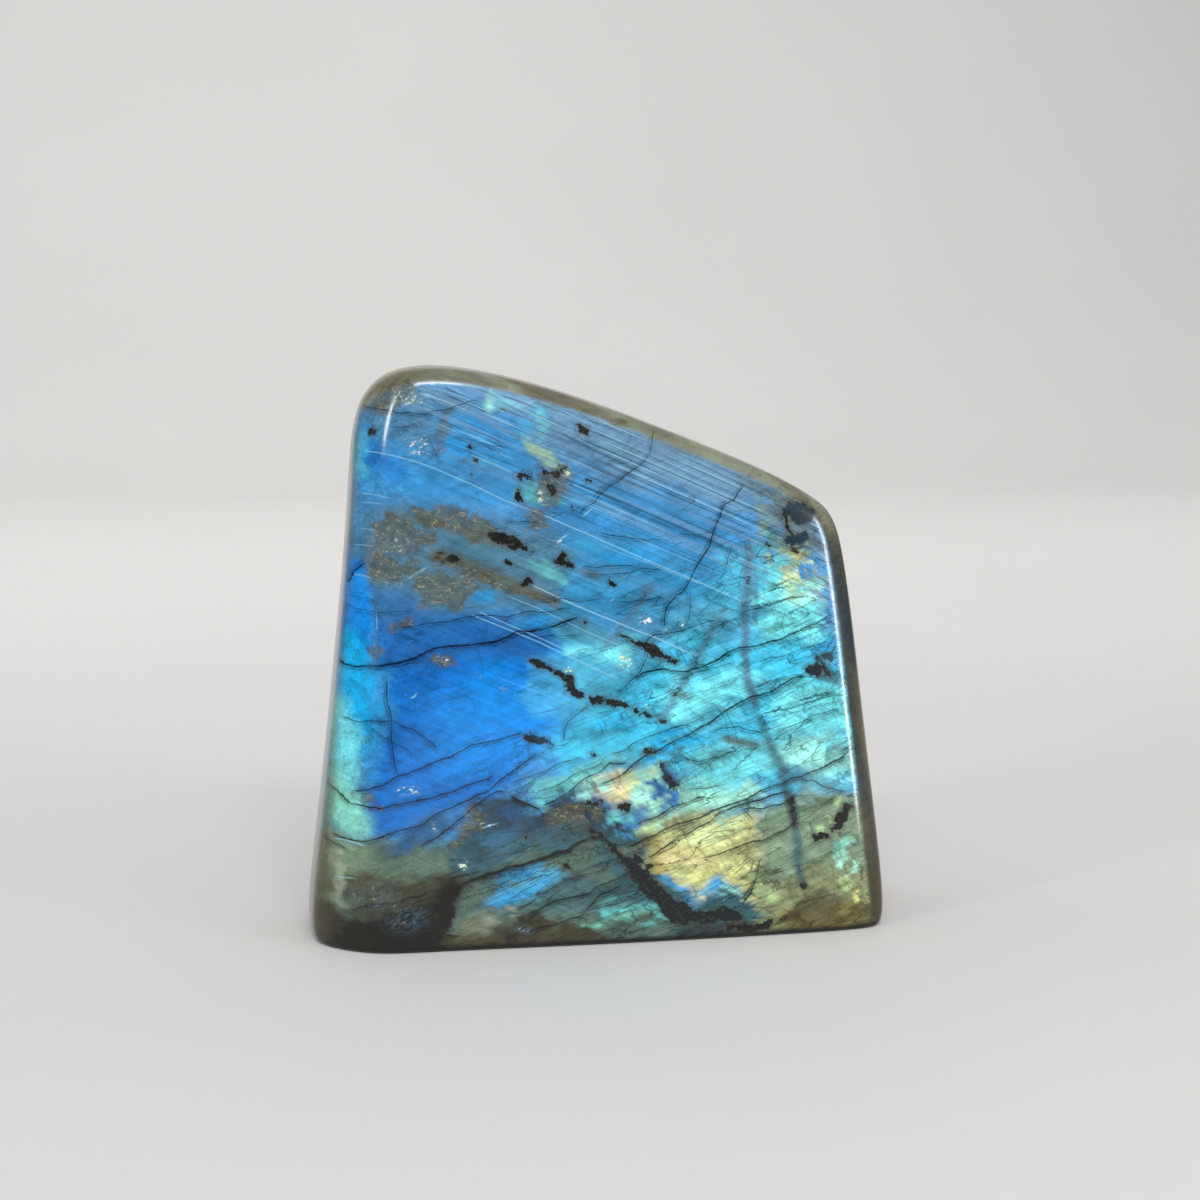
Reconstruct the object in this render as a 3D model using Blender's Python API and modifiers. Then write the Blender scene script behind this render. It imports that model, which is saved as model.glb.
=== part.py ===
"""A polished labradorite freeform: one slab of stone that stands on the flat cut of its foot.

Metres, +Z up. The polished face looks along -Y. The origin is under the middle of the stone, on the
surface that it stands on.
"""

import bmesh
import bpy
from mathutils import Vector

# Driving dimensions, in metres. A block of this size is cut into columns, layers and levels, and the
# tables below say where each of them goes.
WIDTH = 0.1172
DEPTH = 0.0420
HEIGHT = 0.1133

# From the foot up: the level's height in the block, where the stone's left and right ends are there,
# and how deep the stone is.
LEVELS = (
    (0.0000, -0.0568, 0.0568, 0.0420),
    (0.0035, -0.0584, 0.0583, 0.0418),
    (0.0280, -0.0550, 0.0564, 0.0386),
    (0.0560, -0.0519, 0.0539, 0.0348),
    (0.0840, -0.0489, 0.0517, 0.0305),
    (0.1020, -0.0482, 0.0500, 0.0272),
    (0.1133, -0.0466, 0.0489, 0.0252),
)

# From the left end to the right: how far across each column stands as a share of the width, how high
# the stone is there, and how deep it is as a share of the level's depth. The left end is a round nose,
# and the right one is a tighter edge.
COLUMNS = (
    (0.000, 0.1134, 0.54),
    (0.080, 0.1128, 0.99),
    (0.200, 0.1132, 0.96),
    (0.420, 0.1080, 1.00),
    (0.650, 0.0996, 1.00),
    (0.841, 0.0923, 0.97),
    (0.944, 0.0870, 0.94),
    (1.000, 0.0834, 0.85),
)

# From the front face to the back one: each layer's place as a share of the depth, and how much of the
# full width and height it reaches, because the rim is a little crowned. The back is rounder than the
# front.
LAYERS = (
    (-0.500, 0.985),
    (-0.357, 0.997),
    (0.000, 1.000),
    (0.320, 0.995),
    (0.500, 0.974),
)

# How far the outline's two upper corners are drawn in.
TOP_LEFT_PULL = Vector((0.0019, 0.0, -0.0042))
TOP_RIGHT_PULL = Vector((-0.0008, 0.0, 0.0))

# The ground foot keeps a crisp edge: 0 is as round as the rest, and 1 is a knife edge.
FOOT_EDGE_CREASE = 0.32
SMOOTHING_LEVELS = 2

STONE_COLOUR = (0.075, 0.205, 0.330, 1.0)
STONE_ROUGHNESS = 0.10
SAME_PLACE = 1e-5


def clear_scene():
    for item in list(bpy.data.objects):
        bpy.data.objects.remove(item, do_unlink=True)


def part_collection(name):
    collection = bpy.data.collections.new(name)
    bpy.context.scene.collection.children.link(collection)
    return collection


def cut_places():
    """Where the plain block is cut along X, Y and Z, its two ends included."""
    columns = [(share - 0.5) * WIDTH for share, _, _ in COLUMNS]
    layers = [share * DEPTH for share, _ in LAYERS]
    levels = [z for z, _, _, _ in LEVELS]
    return columns, layers, levels


def add_block(cage):
    """A plain block of the stone's largest size, standing on Z = 0."""
    bmesh.ops.create_cube(cage, size=1.0)
    bmesh.ops.scale(cage, vec=(WIDTH, DEPTH, HEIGHT), verts=cage.verts)
    bmesh.ops.translate(cage, vec=(0.0, 0.0, HEIGHT / 2), verts=cage.verts)


def cut_block(cage):
    for axis, places in enumerate(cut_places()):
        for place in places[1:-1]:
            point, normal = Vector(), Vector()
            point[axis] = place
            normal[axis] = 1.0
            everything = cage.verts[:] + cage.edges[:] + cage.faces[:]
            bmesh.ops.bisect_plane(cage, geom=everything, dist=SAME_PLACE, plane_co=point, plane_no=normal)


def index_of(places, value):
    return min(range(len(places)), key=lambda i: abs(places[i] - value))


def shaped_place(column, layer, level):
    """Where the vertex at that column, layer and level of the block belongs on the stone."""
    across, column_height, column_share = COLUMNS[column]
    depth_share, reach = LAYERS[layer]
    level_z, left, right, depth = LEVELS[level]
    middle = (left + right) / 2
    x = middle + (left + across * (right - left) - middle) * reach
    y = depth_share * depth * column_share
    z = level_z / HEIGHT * column_height * reach
    place = Vector((x, y, z))
    if level == len(LEVELS) - 1 and column == 0:
        place += TOP_LEFT_PULL
    if level == len(LEVELS) - 1 and column == len(COLUMNS) - 1:
        place += TOP_RIGHT_PULL
    return place


def shape_cage(cage):
    """Moves each vertex of the cut block to its own column, layer and level of the stone."""
    columns, layers, levels = cut_places()
    for vertex in cage.verts:
        x, y, z = vertex.co
        vertex.co = shaped_place(index_of(columns, x), index_of(layers, y), index_of(levels, z))


def crease_foot(cage):
    crease = cage.edges.layers.float.new("crease_edge")
    for edge in cage.edges:
        on_foot = all(vertex.co.z < SAME_PLACE for vertex in edge.verts)
        on_rim = any(face.normal.z > -0.9 for face in edge.link_faces)
        if on_foot and on_rim:
            edge[crease] = FOOT_EDGE_CREASE


def stone_material():
    material = bpy.data.materials.new("polished_labradorite")
    material.use_nodes = True
    shader = material.node_tree.nodes["Principled BSDF"]
    shader.inputs["Base Color"].default_value = STONE_COLOUR
    shader.inputs["Roughness"].default_value = STONE_ROUGHNESS
    shader.inputs["Metallic"].default_value = 0.0
    return material


def smooth_surface(stone):
    smoothing = stone.modifiers.new("polish", "SUBSURF")
    smoothing.levels = SMOOTHING_LEVELS
    smoothing.render_levels = SMOOTHING_LEVELS
    stone.data.shade_smooth()


def make_stone(collection):
    """The whole stone, which is one solid: a coarse cage that subdivision turns into a worn block."""
    cage = bmesh.new()
    add_block(cage)
    cut_block(cage)
    shape_cage(cage)
    bmesh.ops.recalc_face_normals(cage, faces=cage.faces)
    crease_foot(cage)
    mesh = bpy.data.meshes.new("stone")
    cage.to_mesh(mesh)
    cage.free()
    stone = bpy.data.objects.new("stone", mesh)
    collection.objects.link(stone)
    stone.data.materials.append(stone_material())
    smooth_surface(stone)
    return stone


def main():
    clear_scene()
    make_stone(part_collection("labradorite_freeform"))


main()
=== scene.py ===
"""A polished labradorite freeform on a plain pale stage.

The stone is modelled as by hand: a block is cut into columns, layers and levels, these are moved to the
stone's taper, slope and roundings, and subdivision smooths it. What is inside the stone and shows through
its polish is written into the mesh as attributes: the flash of colour, the cleavage cracks, the pale
growth lines and the dark inclusions. The same colour also holds painted shade beside the cracks and along
the foot, and painted reflections on the dull rim. The material adds their fibre, grain, ragged edges and
sparkle, the sparkle as painted glints.

Lengths in the tables are millimetres. On the faces, x runs from the middle and z from the foot.
"""

from math import radians

import bpy
import numpy as np
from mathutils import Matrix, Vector


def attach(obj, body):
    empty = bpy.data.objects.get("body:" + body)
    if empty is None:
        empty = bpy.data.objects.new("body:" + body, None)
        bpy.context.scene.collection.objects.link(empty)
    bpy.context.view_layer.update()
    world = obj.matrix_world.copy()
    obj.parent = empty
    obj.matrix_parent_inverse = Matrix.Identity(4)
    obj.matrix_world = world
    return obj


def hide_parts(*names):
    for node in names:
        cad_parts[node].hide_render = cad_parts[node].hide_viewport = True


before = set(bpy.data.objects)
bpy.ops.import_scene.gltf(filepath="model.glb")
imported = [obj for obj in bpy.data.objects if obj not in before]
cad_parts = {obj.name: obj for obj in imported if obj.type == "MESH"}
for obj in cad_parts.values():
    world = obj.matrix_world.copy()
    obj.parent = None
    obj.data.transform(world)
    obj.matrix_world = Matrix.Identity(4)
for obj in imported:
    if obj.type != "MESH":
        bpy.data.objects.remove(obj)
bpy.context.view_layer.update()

bl_info = {
    "name": "Labradorite Freeform",
    "version": (1, 0, 0),
    "blender": (4, 5, 0),
    "location": "View3D > Sidebar > Labradorite",
    "description": "Makes a polished labradorite freeform and the stage it is shown on",
    "category": "Add Mesh",
}

MM = 0.001
SAME_PLACE = 0.01 * MM

# The stone's shape. From the foot up: the level's height in the block, where the left and right ends are
# there, and how deep the stone is.
BLOCK_HEIGHT = 113.3
LEVELS = (
    (0.0, -56.8, 56.8, 42.0),
    (3.5, -58.4, 58.3, 41.8),
    (28.0, -55.0, 56.4, 38.6),
    (56.0, -51.9, 53.9, 34.8),
    (84.0, -48.9, 51.7, 30.5),
    (102.0, -48.2, 50.0, 27.2),
    (113.3, -46.6, 48.9, 25.2),
)

# From the left end to the right: the column's place as a share of the width, how high the stone is there,
# and how deep it is as a share of the level's depth.
COLUMNS = (
    (0.000, 113.4, 0.54),
    (0.080, 112.8, 0.99),
    (0.200, 113.2, 0.96),
    (0.420, 108.0, 1.00),
    (0.650, 99.6, 1.00),
    (0.841, 92.3, 0.97),
    (0.944, 87.0, 0.94),
    (1.000, 83.4, 0.85),
)

# From the front to the back: the layer's place as a share of the depth, and how much of the width and
# height it reaches.
LAYERS = ((-0.500, 0.985), (-0.357, 0.997), (0.000, 1.000), (0.320, 0.995), (0.500, 0.974))

# How far the two upper corners of the outline are drawn in.
TOP_LEFT_PULL = Vector((1.9, 0.0, -4.2)) * MM
TOP_RIGHT_PULL = Vector((-0.8, 0.0, 0.0)) * MM
FOOT_EDGE_CREASE = 0.32
SMOOTHING_LEVELS = 4

# Fine hairlines all over: their slope in degrees, the length and the spacing of the pattern, how thin
# they are, how often they come and go, and how dark they are.
HAIRLINES = (
    (-14.0, 34.0, 3.2, 0.012, 0.11, 0.85),
    (-27.0, 26.0, 3.6, 0.010, 0.10, 0.75),
    (22.0, 30.0, 4.4, 0.008, 0.12, 0.45),
    (68.0, 15.0, 4.6, 0.009, 0.14, 0.5),
)

# Where the dull strips on the left and the right start, from the foot up.
LEFT_STRIP_HEIGHTS = (0.0, 20.0, 35.0, 50.0, 80.0, 104.0)
LEFT_STRIP_PLACES = (-54.6, -53.4, -52.4, -51.4, -48.4, -46.8)
RIGHT_STRIP_HEIGHTS = (5.0, 15.0, 32.0, 52.0, 70.0, 79.0, 86.0)
RIGHT_STRIP_PLACES = (53.2, 52.2, 50.4, 48.3, 46.3, 44.6, 41.0)

# The colours inside the stone, in the red, green and blue of a screen, from 0 to 255.
COLOURS = {
    "royal": (10, 116, 208),
    "deep": (32, 88, 142),
    "azure": (44, 148, 214),
    "bright_azure": (14, 148, 244),
    "electric": (8, 184, 250),
    "cornflower": (76, 148, 204),
    "mist": (136, 180, 206),
    "haze": (114, 154, 186),
    "sea": (54, 148, 198),
    "sky": (76, 174, 220),
    "lagoon": (84, 190, 224),
    "cyan": (70, 208, 246),
    "pale_cyan": (132, 248, 255),
    "turquoise": (110, 208, 206),
    "aqua": (142, 230, 208),
    "pale_aqua": (176, 250, 224),
    "green_yellow": (188, 220, 156),
    "straw": (222, 242, 178),
    "gold": (220, 222, 144),
    "amber": (150, 136, 70),
    "orange": (230, 212, 154),
    "olive": (144, 152, 108),
    "moss": (106, 144, 114),
    "sage": (128, 152, 126),
    "grey_green": (88, 112, 100),
    "teal": (62, 108, 118),
    "steel": (54, 104, 142),
    "dull_blue": (80, 122, 144),
    "indigo": (40, 104, 172),
    "navy": (28, 60, 80),
    "slate": (58, 66, 70),
    "dusk": (42, 66, 84),
    "brown_grey": (100, 98, 72),
    # the painted reflection low on the rim
    "brown": (64, 56, 38),
    "lilac": (112, 138, 166),
    "bark": (70, 68, 50),
    "pale_grey": (152, 164, 142),
    "ochre": (92, 82, 42),
    "ash": (94, 100, 92),
    "deep_teal": (50, 98, 108),
    "shade_blue": (84, 116, 140),
    "soot": (27, 26, 19),
    "vein": (186, 172, 132),
    # also the painted shade along the foot
    "black": (20, 22, 20),
    # the painted glints of the sparkle, with straw
    "white": (246, 248, 240),
    # the painted reflection high on the rim, with pale_grey
    "rim": (106, 104, 86),
    "pale_line": (150, 206, 228),
}

# Colour zones of the front face, painted in this order: the colour, the width of its soft edge, how much
# it covers, and its outline.
FRONT_ZONES = (
    ("cornflower", 5.0, 1.0, ((-62, -4), (64, -4), (60, 88), (30, 102), (-30, 120), (-56, 116))),
    ("grey_green", 4.0, 1.0, ((-64, 21), (-36, 21), (-30, 20), (4, 22), (12, 12), (14, -4), (-64, -4))),
    ("azure", 5.0, 0.5, ((-50, 108), (-34, 108), (-30, 98), (-34, 88), (-48, 88))),
    ("dull_blue", 3.0, 0.6, ((-48, 104), (-44, 111), (-33, 110), (-30, 105), (-31, 98), (-35, 96),
                             (-41, 98), (-44, 101))),
    ("haze", 6.0, 0.85, ((-16, 110), (0, 105), (14, 100), (32, 93), (35, 86), (26, 85), (14, 88.5),
                         (4, 91), (-6, 95), (-14, 99))),
    ("haze", 4.0, 0.5, ((-32, 109), (-16, 107), (-16, 104), (-30, 105))),
    ("azure", 5.0, 0.55, ((-33, 103), (-24, 103), (-18, 99), (-15, 94), (-14, 89), (-24, 85), (-34, 88))),
    ("azure", 6.0, 0.5, ((-14, 91), (-4, 90), (10, 85), (26, 79), (26, 74), (8, 76), (-8, 82))),
    ("sea", 6.0, 0.85, ((-10, 80), (6, 78), (20, 75), (30, 75), (30, 66), (18, 64), (8, 62), (-2, 63),
                        (-14, 62), (-12, 70))),
    ("dull_blue", 4.0, 0.85, ((-47, 84), (-38, 87), (-30, 84), (-20, 82.5), (-10, 80), (-6, 76), (-8, 70),
                              (-12, 66.5), (-26, 65.5), (-37, 64.5), (-45, 66), (-48, 74))),
    ("lagoon", 6.0, 0.9, ((14, 63), (22, 68), (24, 77), (31, 77), (34, 70), (32, 56), (24, 54), (12, 56))),
    ("lagoon", 5.0, 0.85, ((-14, 61.5), (-6, 63), (4, 60), (14, 57), (10, 50), (-2, 47), (-12, 44),
                           (-16, 50))),
    ("cyan", 6.0, 0.95, ((-12, 36), (-12, 43), (-2, 47), (6, 51), (14, 57), (24, 57), (32, 60), (43, 61),
                         (49, 52), (51, 40), (50, 29), (38, 28), (24, 29), (12, 32), (4, 37))),
    ("pale_cyan", 4.0, 0.95, ((30.5, 58), (31, 68), (33, 74), (37, 71.5), (41, 68), (44, 64), (43, 60.5),
                              (38, 57.5))),
    ("pale_cyan", 5.0, 0.85, ((12, 50), (22, 53), (30, 54), (29, 48), (22, 44), (14, 43))),
    ("pale_cyan", 5.0, 0.85, ((32, 50), (40, 51), (48, 49), (50, 40), (44, 36.5), (36, 38), (32, 42))),
    ("turquoise", 4.0, 0.7, ((14, 37), (24, 40), (34, 38), (36, 32), (24, 29.5), (14, 30))),
    ("pale_aqua", 4.0, 0.75, ((34, 38), (44, 39), (50, 36), (50.5, 31), (40, 30.5), (35, 33))),
    ("royal", 4.2, 1.0, ((-45, 64), (-28, 64.5), (-12, 62), (-8, 57), (-14, 50), (-12, 44), (-15, 38),
                         (-19, 33), (-27, 29), (-36, 25.5), (-48, 23), (-48.5, 28), (-45, 33),
                         (-43, 45), (-43.5, 55))),
    ("indigo", 4.0, 0.7, ((-44, 64.5), (-28, 65), (-12, 62.5), (-10, 57), (-24, 57), (-43, 54))),
    ("bright_azure", 8.0, 0.9, ((-33, 50), (-22, 55), (-10, 53), (-9, 44), (-14, 37), (-24, 34),
                                (-34, 37))),
    ("sky", 3.0, 0.7, ((-16, 56), (-9, 58), (-7, 52), (-10, 45), (-15, 46))),
    ("indigo", 3.0, 0.7, ((-45, 71), (-38, 70), (-36, 66), (-38, 63), (-45, 62))),
    ("azure", 4.0, 0.7, ((-47, 56), (-43.4, 56), (-42.6, 44), (-44, 33), (-47, 30))),
    ("dusk", 2.4, 0.95, ((-34, 14), (-33, 18), (-31, 20.5), (-29, 23), (-28.5, 26.5), (-27, 29),
                         (-24, 30.8), (-20, 30.6), (-16, 28), (-13, 27), (-10, 28.3), (-8, 30.5),
                         (-3, 29), (0, 24), (3, 19), (-2, 21.5), (-10, 20), (-20, 16.5), (-28, 13.5))),
    ("teal", 4.0, 0.6, ((-33, 20), (-28, 23), (-18, 23.5), (-4, 22), (0, 19), (-12, 18), (-24, 14),
                        (-32, 14))),
    ("grey_green", 2.5, 0.9, ((-24, 15), (-10, 20), (-2, 21.5), (3, 17), (4, 13), (8, 9), (12, 5),
                              (12, 1), (-30, 1), (-28, 8), (-24, 9))),
    ("teal", 4.0, 0.7, ((-24, 13), (-10, 14.4), (4, 13), (10, 8), (8, 4), (-4, 7), (-16, 7), (-24, 8))),
    ("deep_teal", 2.4, 1.0, ((-3, 22), (2, 20), (7, 15), (14, 10), (24, 7.8), (30, 6), (31, -2), (12, -2),
                             (10, 4), (5, 9), (-4, 17))),
    ("sage", 5.0, 1.0, ((29, 27), (40, 29.5), (52, 28), (56, 20), (57, 6), (57, -2), (29, -2), (28, 8),
                        (29, 14))),
    ("olive", 5.0, 0.9, ((29, 13), (38, 12), (46, 13), (57, 12), (57, -2), (29, -2))),
    ("ochre", 3.4, 0.9, ((37, 4.6), (46, 5.4), (57, 4), (57, -2), (28, -2), (32, 2))),
    ("slate", 1.8, 0.9, ((12, 5), (20, 3.6), (28, 3), (30, -2), (11, -2))),
    ("sage", 3.0, 0.85, ((-58, 21), (-45, 22.5), (-36, 20.5), (-31, 17), (-31, 13), (-38, 13), (-58, 7))),
    ("grey_green", 4.0, 0.8, ((-48, 22), (-36, 21), (-31, 17), (-32, 13), (-46, 13.5))),
    ("bark", 3.6, 0.95, ((-56, 13), (-50, 14.5), (-40, 15.2), (-31, 15), (-28, 12), (-34, 8), (-50, 9.5))),
    ("soot", 2.6, 1.0, ((-64, 9), (-54.5, 7.6), (-51.5, 6.6), (-46.5, 9), (-40, 10.4), (-34, 12.2),
                        (-30, 13), (-29.4, 8), (-30, 5), (-31, -4), (-64, -4))),
    ("bark", 2.4, 1.0, ((-32, 4.5), (-20, 5), (-8, 4.6), (-4, 1), (0, -4), (-33, -4))),
    # the nose on the left, from the top down
    ("bright_azure", 2.6, 0.95, ((-52, 75), (-46.5, 75), (-45.4, 66), (-45.6, 58), (-52, 58))),
    ("electric", 3.4, 0.95, ((-54, 61), (-49, 61), (-46.2, 57), (-45.4, 46), (-45.8, 38), (-54, 36))),
    ("pale_cyan", 3.6, 0.85, ((-55, 49), (-49.6, 48), (-47.4, 40), (-47.2, 31), (-49, 27), (-56, 27))),
    ("aqua", 4.6, 0.95, ((-57, 32), (-49.5, 31), (-47.2, 26), (-48.4, 22), (-58, 22))),
    # the gold below the middle
    ("gold", 3.6, 0.95, ((6, 23), (12, 24.8), (22, 25.6), (29, 23.5), (30.5, 14), (29.5, 7), (24, 8),
                         (18, 10), (12, 12), (8, 16))),
    ("pale_aqua", 3.0, 0.9, ((12.6, 28.8), (20, 30.5), (28, 29.5), (30, 26.8), (22, 25.4), (14, 24.4))),
)

# Smaller spots of the front face: the colour, its middle, its half length and half width, the slope of
# its length in degrees, and how much it covers.
FRONT_SPOTS = (
    # the round nose on the left, from the top down
    ("lagoon", -46.3, 96, 4.6, 1.8, 85, 0.85),
    ("lilac", -44, 77, 5, 2.6, 70, 0.6),
    ("pale_grey", -51.6, 14, 6.5, 1.5, 84, 0.75),
    ("sky", -17, 12.6, 7, 2.8, 18, 0.8),
    ("azure", -18, 11.8, 5, 1.8, 20, 0.6),
    # the upper body
    ("azure", -28.5, 96, 4, 2.4, -20, 0.6),
    ("mist", -16, 106, 8, 1.6, -22, 0.5),
    ("sky", -23.5, 94.5, 2, 2.6, 70, 0.5),
    ("turquoise", -20, 106, 3, 1.4, -25, 0.5),
    ("sky", -13, 102.6, 3, 1.1, -50, 0.6),
    ("green_yellow", -12.8, 96.6, 4.6, 1.3, -34, 0.65),
    ("turquoise", -13.4, 101.6, 3.4, 1, -68, 0.5),
    ("pale_aqua", -21.6, 105.6, 3, 0.9, -72, 0.55),
    ("brown_grey", -31.6, 100, 6, 1.3, 82, 0.55),
    ("brown_grey", -40, 106.6, 5, 1.8, 30, 0.6),
    ("royal", -44, 95.6, 3.2, 1.8, 80, 0.6),
    ("royal", -41, 93.6, 3.4, 1.8, -20, 0.5),
    ("sky", -16.5, 100.5, 2.4, 1.4, -40, 0.6),
    ("turquoise", -14.6, 89.2, 4.4, 2.6, -10, 0.65),
    ("turquoise", -9.2, 87, 2.4, 1.2, -30, 0.65),
    ("azure", -4.6, 87.5, 5, 3.6, 10, 0.6),
    ("azure", 4, 75.4, 8, 1.8, 0, 0.6),
    ("grey_green", 30, 88.6, 2.6, 1.8, -30, 0.5),
    ("sage", 32.4, 83, 5.4, 1.8, 75, 0.75),
    ("turquoise", 31.2, 78, 3, 1.4, 60, 0.5),
    ("azure", -24.6, 68.6, 3.6, 1.9, -8, 0.8),
    ("turquoise", -12.4, 73.4, 2.8, 1.4, -15, 0.55),
    ("turquoise", -9.4, 71.9, 3.2, 0.8, -12, 0.5),
    ("azure", -14, 63.2, 5, 1.4, 6, 0.6),
    ("teal", -4, 61.6, 8, 2.4, -24, 0.45),
    # the gold corner on the right
    ("sage", 39, 80, 6.5, 5, 70, 0.85),
    ("ash", 38, 84, 6, 4.4, -50, 0.95),
    ("ash", 43, 78, 4, 2, -70, 0.7),
    ("sage", 33.5, 76.8, 3, 2, -25, 0.6),
    ("green_yellow", 36.8, 74, 4.2, 2.2, -30, 0.8),
    ("orange", 37.4, 73.4, 2.2, 1.1, -30, 0.5),
    ("straw", 40.6, 72.4, 1.2, 1.6, 0, 0.8),
    ("green_yellow", 39.4, 70, 4.6, 1.8, -28, 0.7),
    ("pale_aqua", 39.5, 67.4, 3.8, 1.6, -25, 0.8),
    ("pale_grey", 44, 69, 6, 1.4, 84, 0.6),
    # the bright middle and right
    ("pale_cyan", 1.5, 55.5, 4.4, 2.8, -20, 0.85),
    ("pale_cyan", -6, 58.5, 3.4, 1.2, -14, 0.7),
    ("turquoise", 5.4, 59.6, 2.6, 1, -20, 0.6),
    ("sky", 7.5, 64, 4, 2.4, 0, 0.6),
    ("electric", 11, 38.8, 5.4, 1.6, 22, 0.8),
    ("electric", 1, 42.6, 6, 2, 10, 0.5),
    ("sea", 5, 44.4, 2.2, 1, 0, 0.7),
    ("sea", 13, 53.4, 4, 1, 6, 0.5),
    ("steel", 44.4, 62, 2.2, 1.1, 10, 0.6),
    ("azure", 42.6, 55.6, 3.6, 1.1, 14, 0.8),
    ("sky", 44.4, 58.6, 2.4, 1.4, 10, 0.7),
    ("deep_teal", 45, 51, 4, 2.2, -30, 0.75),
    ("teal", 35.8, 31.4, 2.6, 1.4, 60, 0.5),
    # aqua, yellow and gold below the middle
    ("turquoise", -6, 33.4, 12, 2.6, 22, 0.85),
    ("turquoise", -14, 33, 4, 1.6, 14, 0.6),
    ("pale_aqua", -2.4, 32, 4.6, 1.8, 26, 0.75),
    ("pale_aqua", 8, 29.6, 2.6, 6, 0, 0.95),
    ("orange", 2.6, 30.4, 4.2, 3.8, -10, 0.95),
    ("straw", 4.8, 32.6, 2.6, 2, 0, 0.9),
    ("pale_grey", 1.4, 29, 1.8, 1.2, 0, 0.4),
    ("turquoise", 22, 31, 10, 2, 14, 0.5),
    ("green_yellow", 7, 22.4, 4.4, 1.7, 20, 0.85),
    ("straw", 20, 22.6, 8, 2, 14, 0.8),
    ("amber", 10.6, 15.6, 2.8, 1.3, -30, 0.8),
    ("olive", 6.6, 18.6, 2.4, 1.5, -40, 0.8),
    ("sky", 22.6, 9.6, 3.4, 2.2, -8, 0.85),
    ("azure", 22.8, 9.8, 1.8, 1, -14, 0.7),
    ("pale_aqua", 23, 7.8, 2.4, 0.8, -10, 0.6),
    ("azure", 12.6, 11.4, 3.8, 0.8, -34, 0.8),
    ("azure", 16, 8.8, 2, 0.7, -34, 0.7),
    ("turquoise", 1.6, 25, 2.6, 1.7, 30, 0.9),
    ("azure", 3, 21.6, 1, 2.2, 0, 0.85),
    ("navy", 0.4, 21.6, 1.9, 1.5, 0, 0.8),
    ("indigo", 11.6, 29.8, 1.4, 5, 4, 0.95),
    ("bright_azure", 13.2, 26.8, 1.4, 2.6, -8, 0.85),
    ("navy", 10.8, 34.4, 1.8, 1.2, 0, 0.6),
    # the olive corner on the lower right
    ("moss", 34, 25, 5, 2, 10, 0.7),
    ("green_yellow", 43.6, 22, 1.4, 1.4, 0, 0.8),
    ("green_yellow", 46.4, 25.2, 0.8, 1.5, -30, 0.7),
    ("aqua", 46.6, 18.4, 2.8, 2, 0, 0.85),
    ("pale_aqua", 49.2, 15.2, 1.3, 3.6, 0, 0.8),
    ("green_yellow", 49.6, 9.6, 1.1, 2.6, 0, 0.7),
    ("gold", 51, 6, 0.9, 1.4, 0, 0.9),
    ("green_yellow", 32, 9.6, 3, 3.4, 0, 0.6),
    ("brown_grey", 43, 6.2, 4.6, 3.2, 0, 0.85),
    ("amber", 35, 3.6, 2.4, 1.2, 0, 0.8),
    ("amber", 49, 4, 1.8, 0.8, 0, 0.7),
    # grey, steel blue and aqua along the foot
    ("pale_grey", -23.6, 7, 4.6, 1.3, 16, 0.7),
    ("turquoise", 4.6, 6.4, 5.6, 2.4, -8, 0.85),
    ("aqua", -2, 3.8, 6, 1.2, 6, 0.6),
    ("azure", 9.6, 7.4, 1.3, 0.8, 0, 0.8),
    ("sky", 1.8, 14.3, 0.9, 0.7, 0, 0.7),
    ("grey_green", -3.4, 17.6, 4, 1.6, 16, 0.6),
    ("slate", -5, 9.8, 6, 1.2, 18, 0.6),
    # the dark lower left
    ("steel", -22, 22.4, 6, 1.4, 20, 0.7),
    ("deep", -20, 27.8, 3.4, 1.4, 10, 0.7),
    ("grey_green", -8, 24, 6, 1.8, 8, 0.5),
    ("deep", -38, 22.8, 7, 2.2, 18, 0.8),
    ("navy", -37.6, 5.2, 2.4, 1, 36, 0.8),
    ("teal", -37, 5.6, 1, 0.5, 36, 0.6),
    ("bark", -55, 5, 3.4, 3, 0, 0.7),
    ("bark", -45, 9, 9, 1.2, 12, 0.6),
    ("brown_grey", -26, 5.6, 5, 1.6, 14, 0.6),
    ("amber", 9.6, 18.4, 3.4, 1.5, -20, 0.75),
    ("orange", 14, 17.4, 5, 1.6, -24, 0.7),
    ("amber", 19, 12.4, 3, 1.1, 60, 0.4),
    ("olive", 27.6, 17, 4.6, 1.4, 80, 0.6),
    ("amber", 25, 20, 4, 0.9, 10, 0.35),
    ("pale_aqua", 12, 23.6, 4, 1.4, 20, 0.6),
)


def screen_colour(red, green, blue):
    """A colour given from 0 to 255, as on a screen, turned into the linear one that a shader uses."""
    shares = np.array((red, green, blue)) / 255.0
    linear = np.where(shares <= 0.04045, shares / 12.92, ((shares + 0.055) / 1.055) ** 2.4)
    return tuple(float(share) for share in linear)


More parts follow.
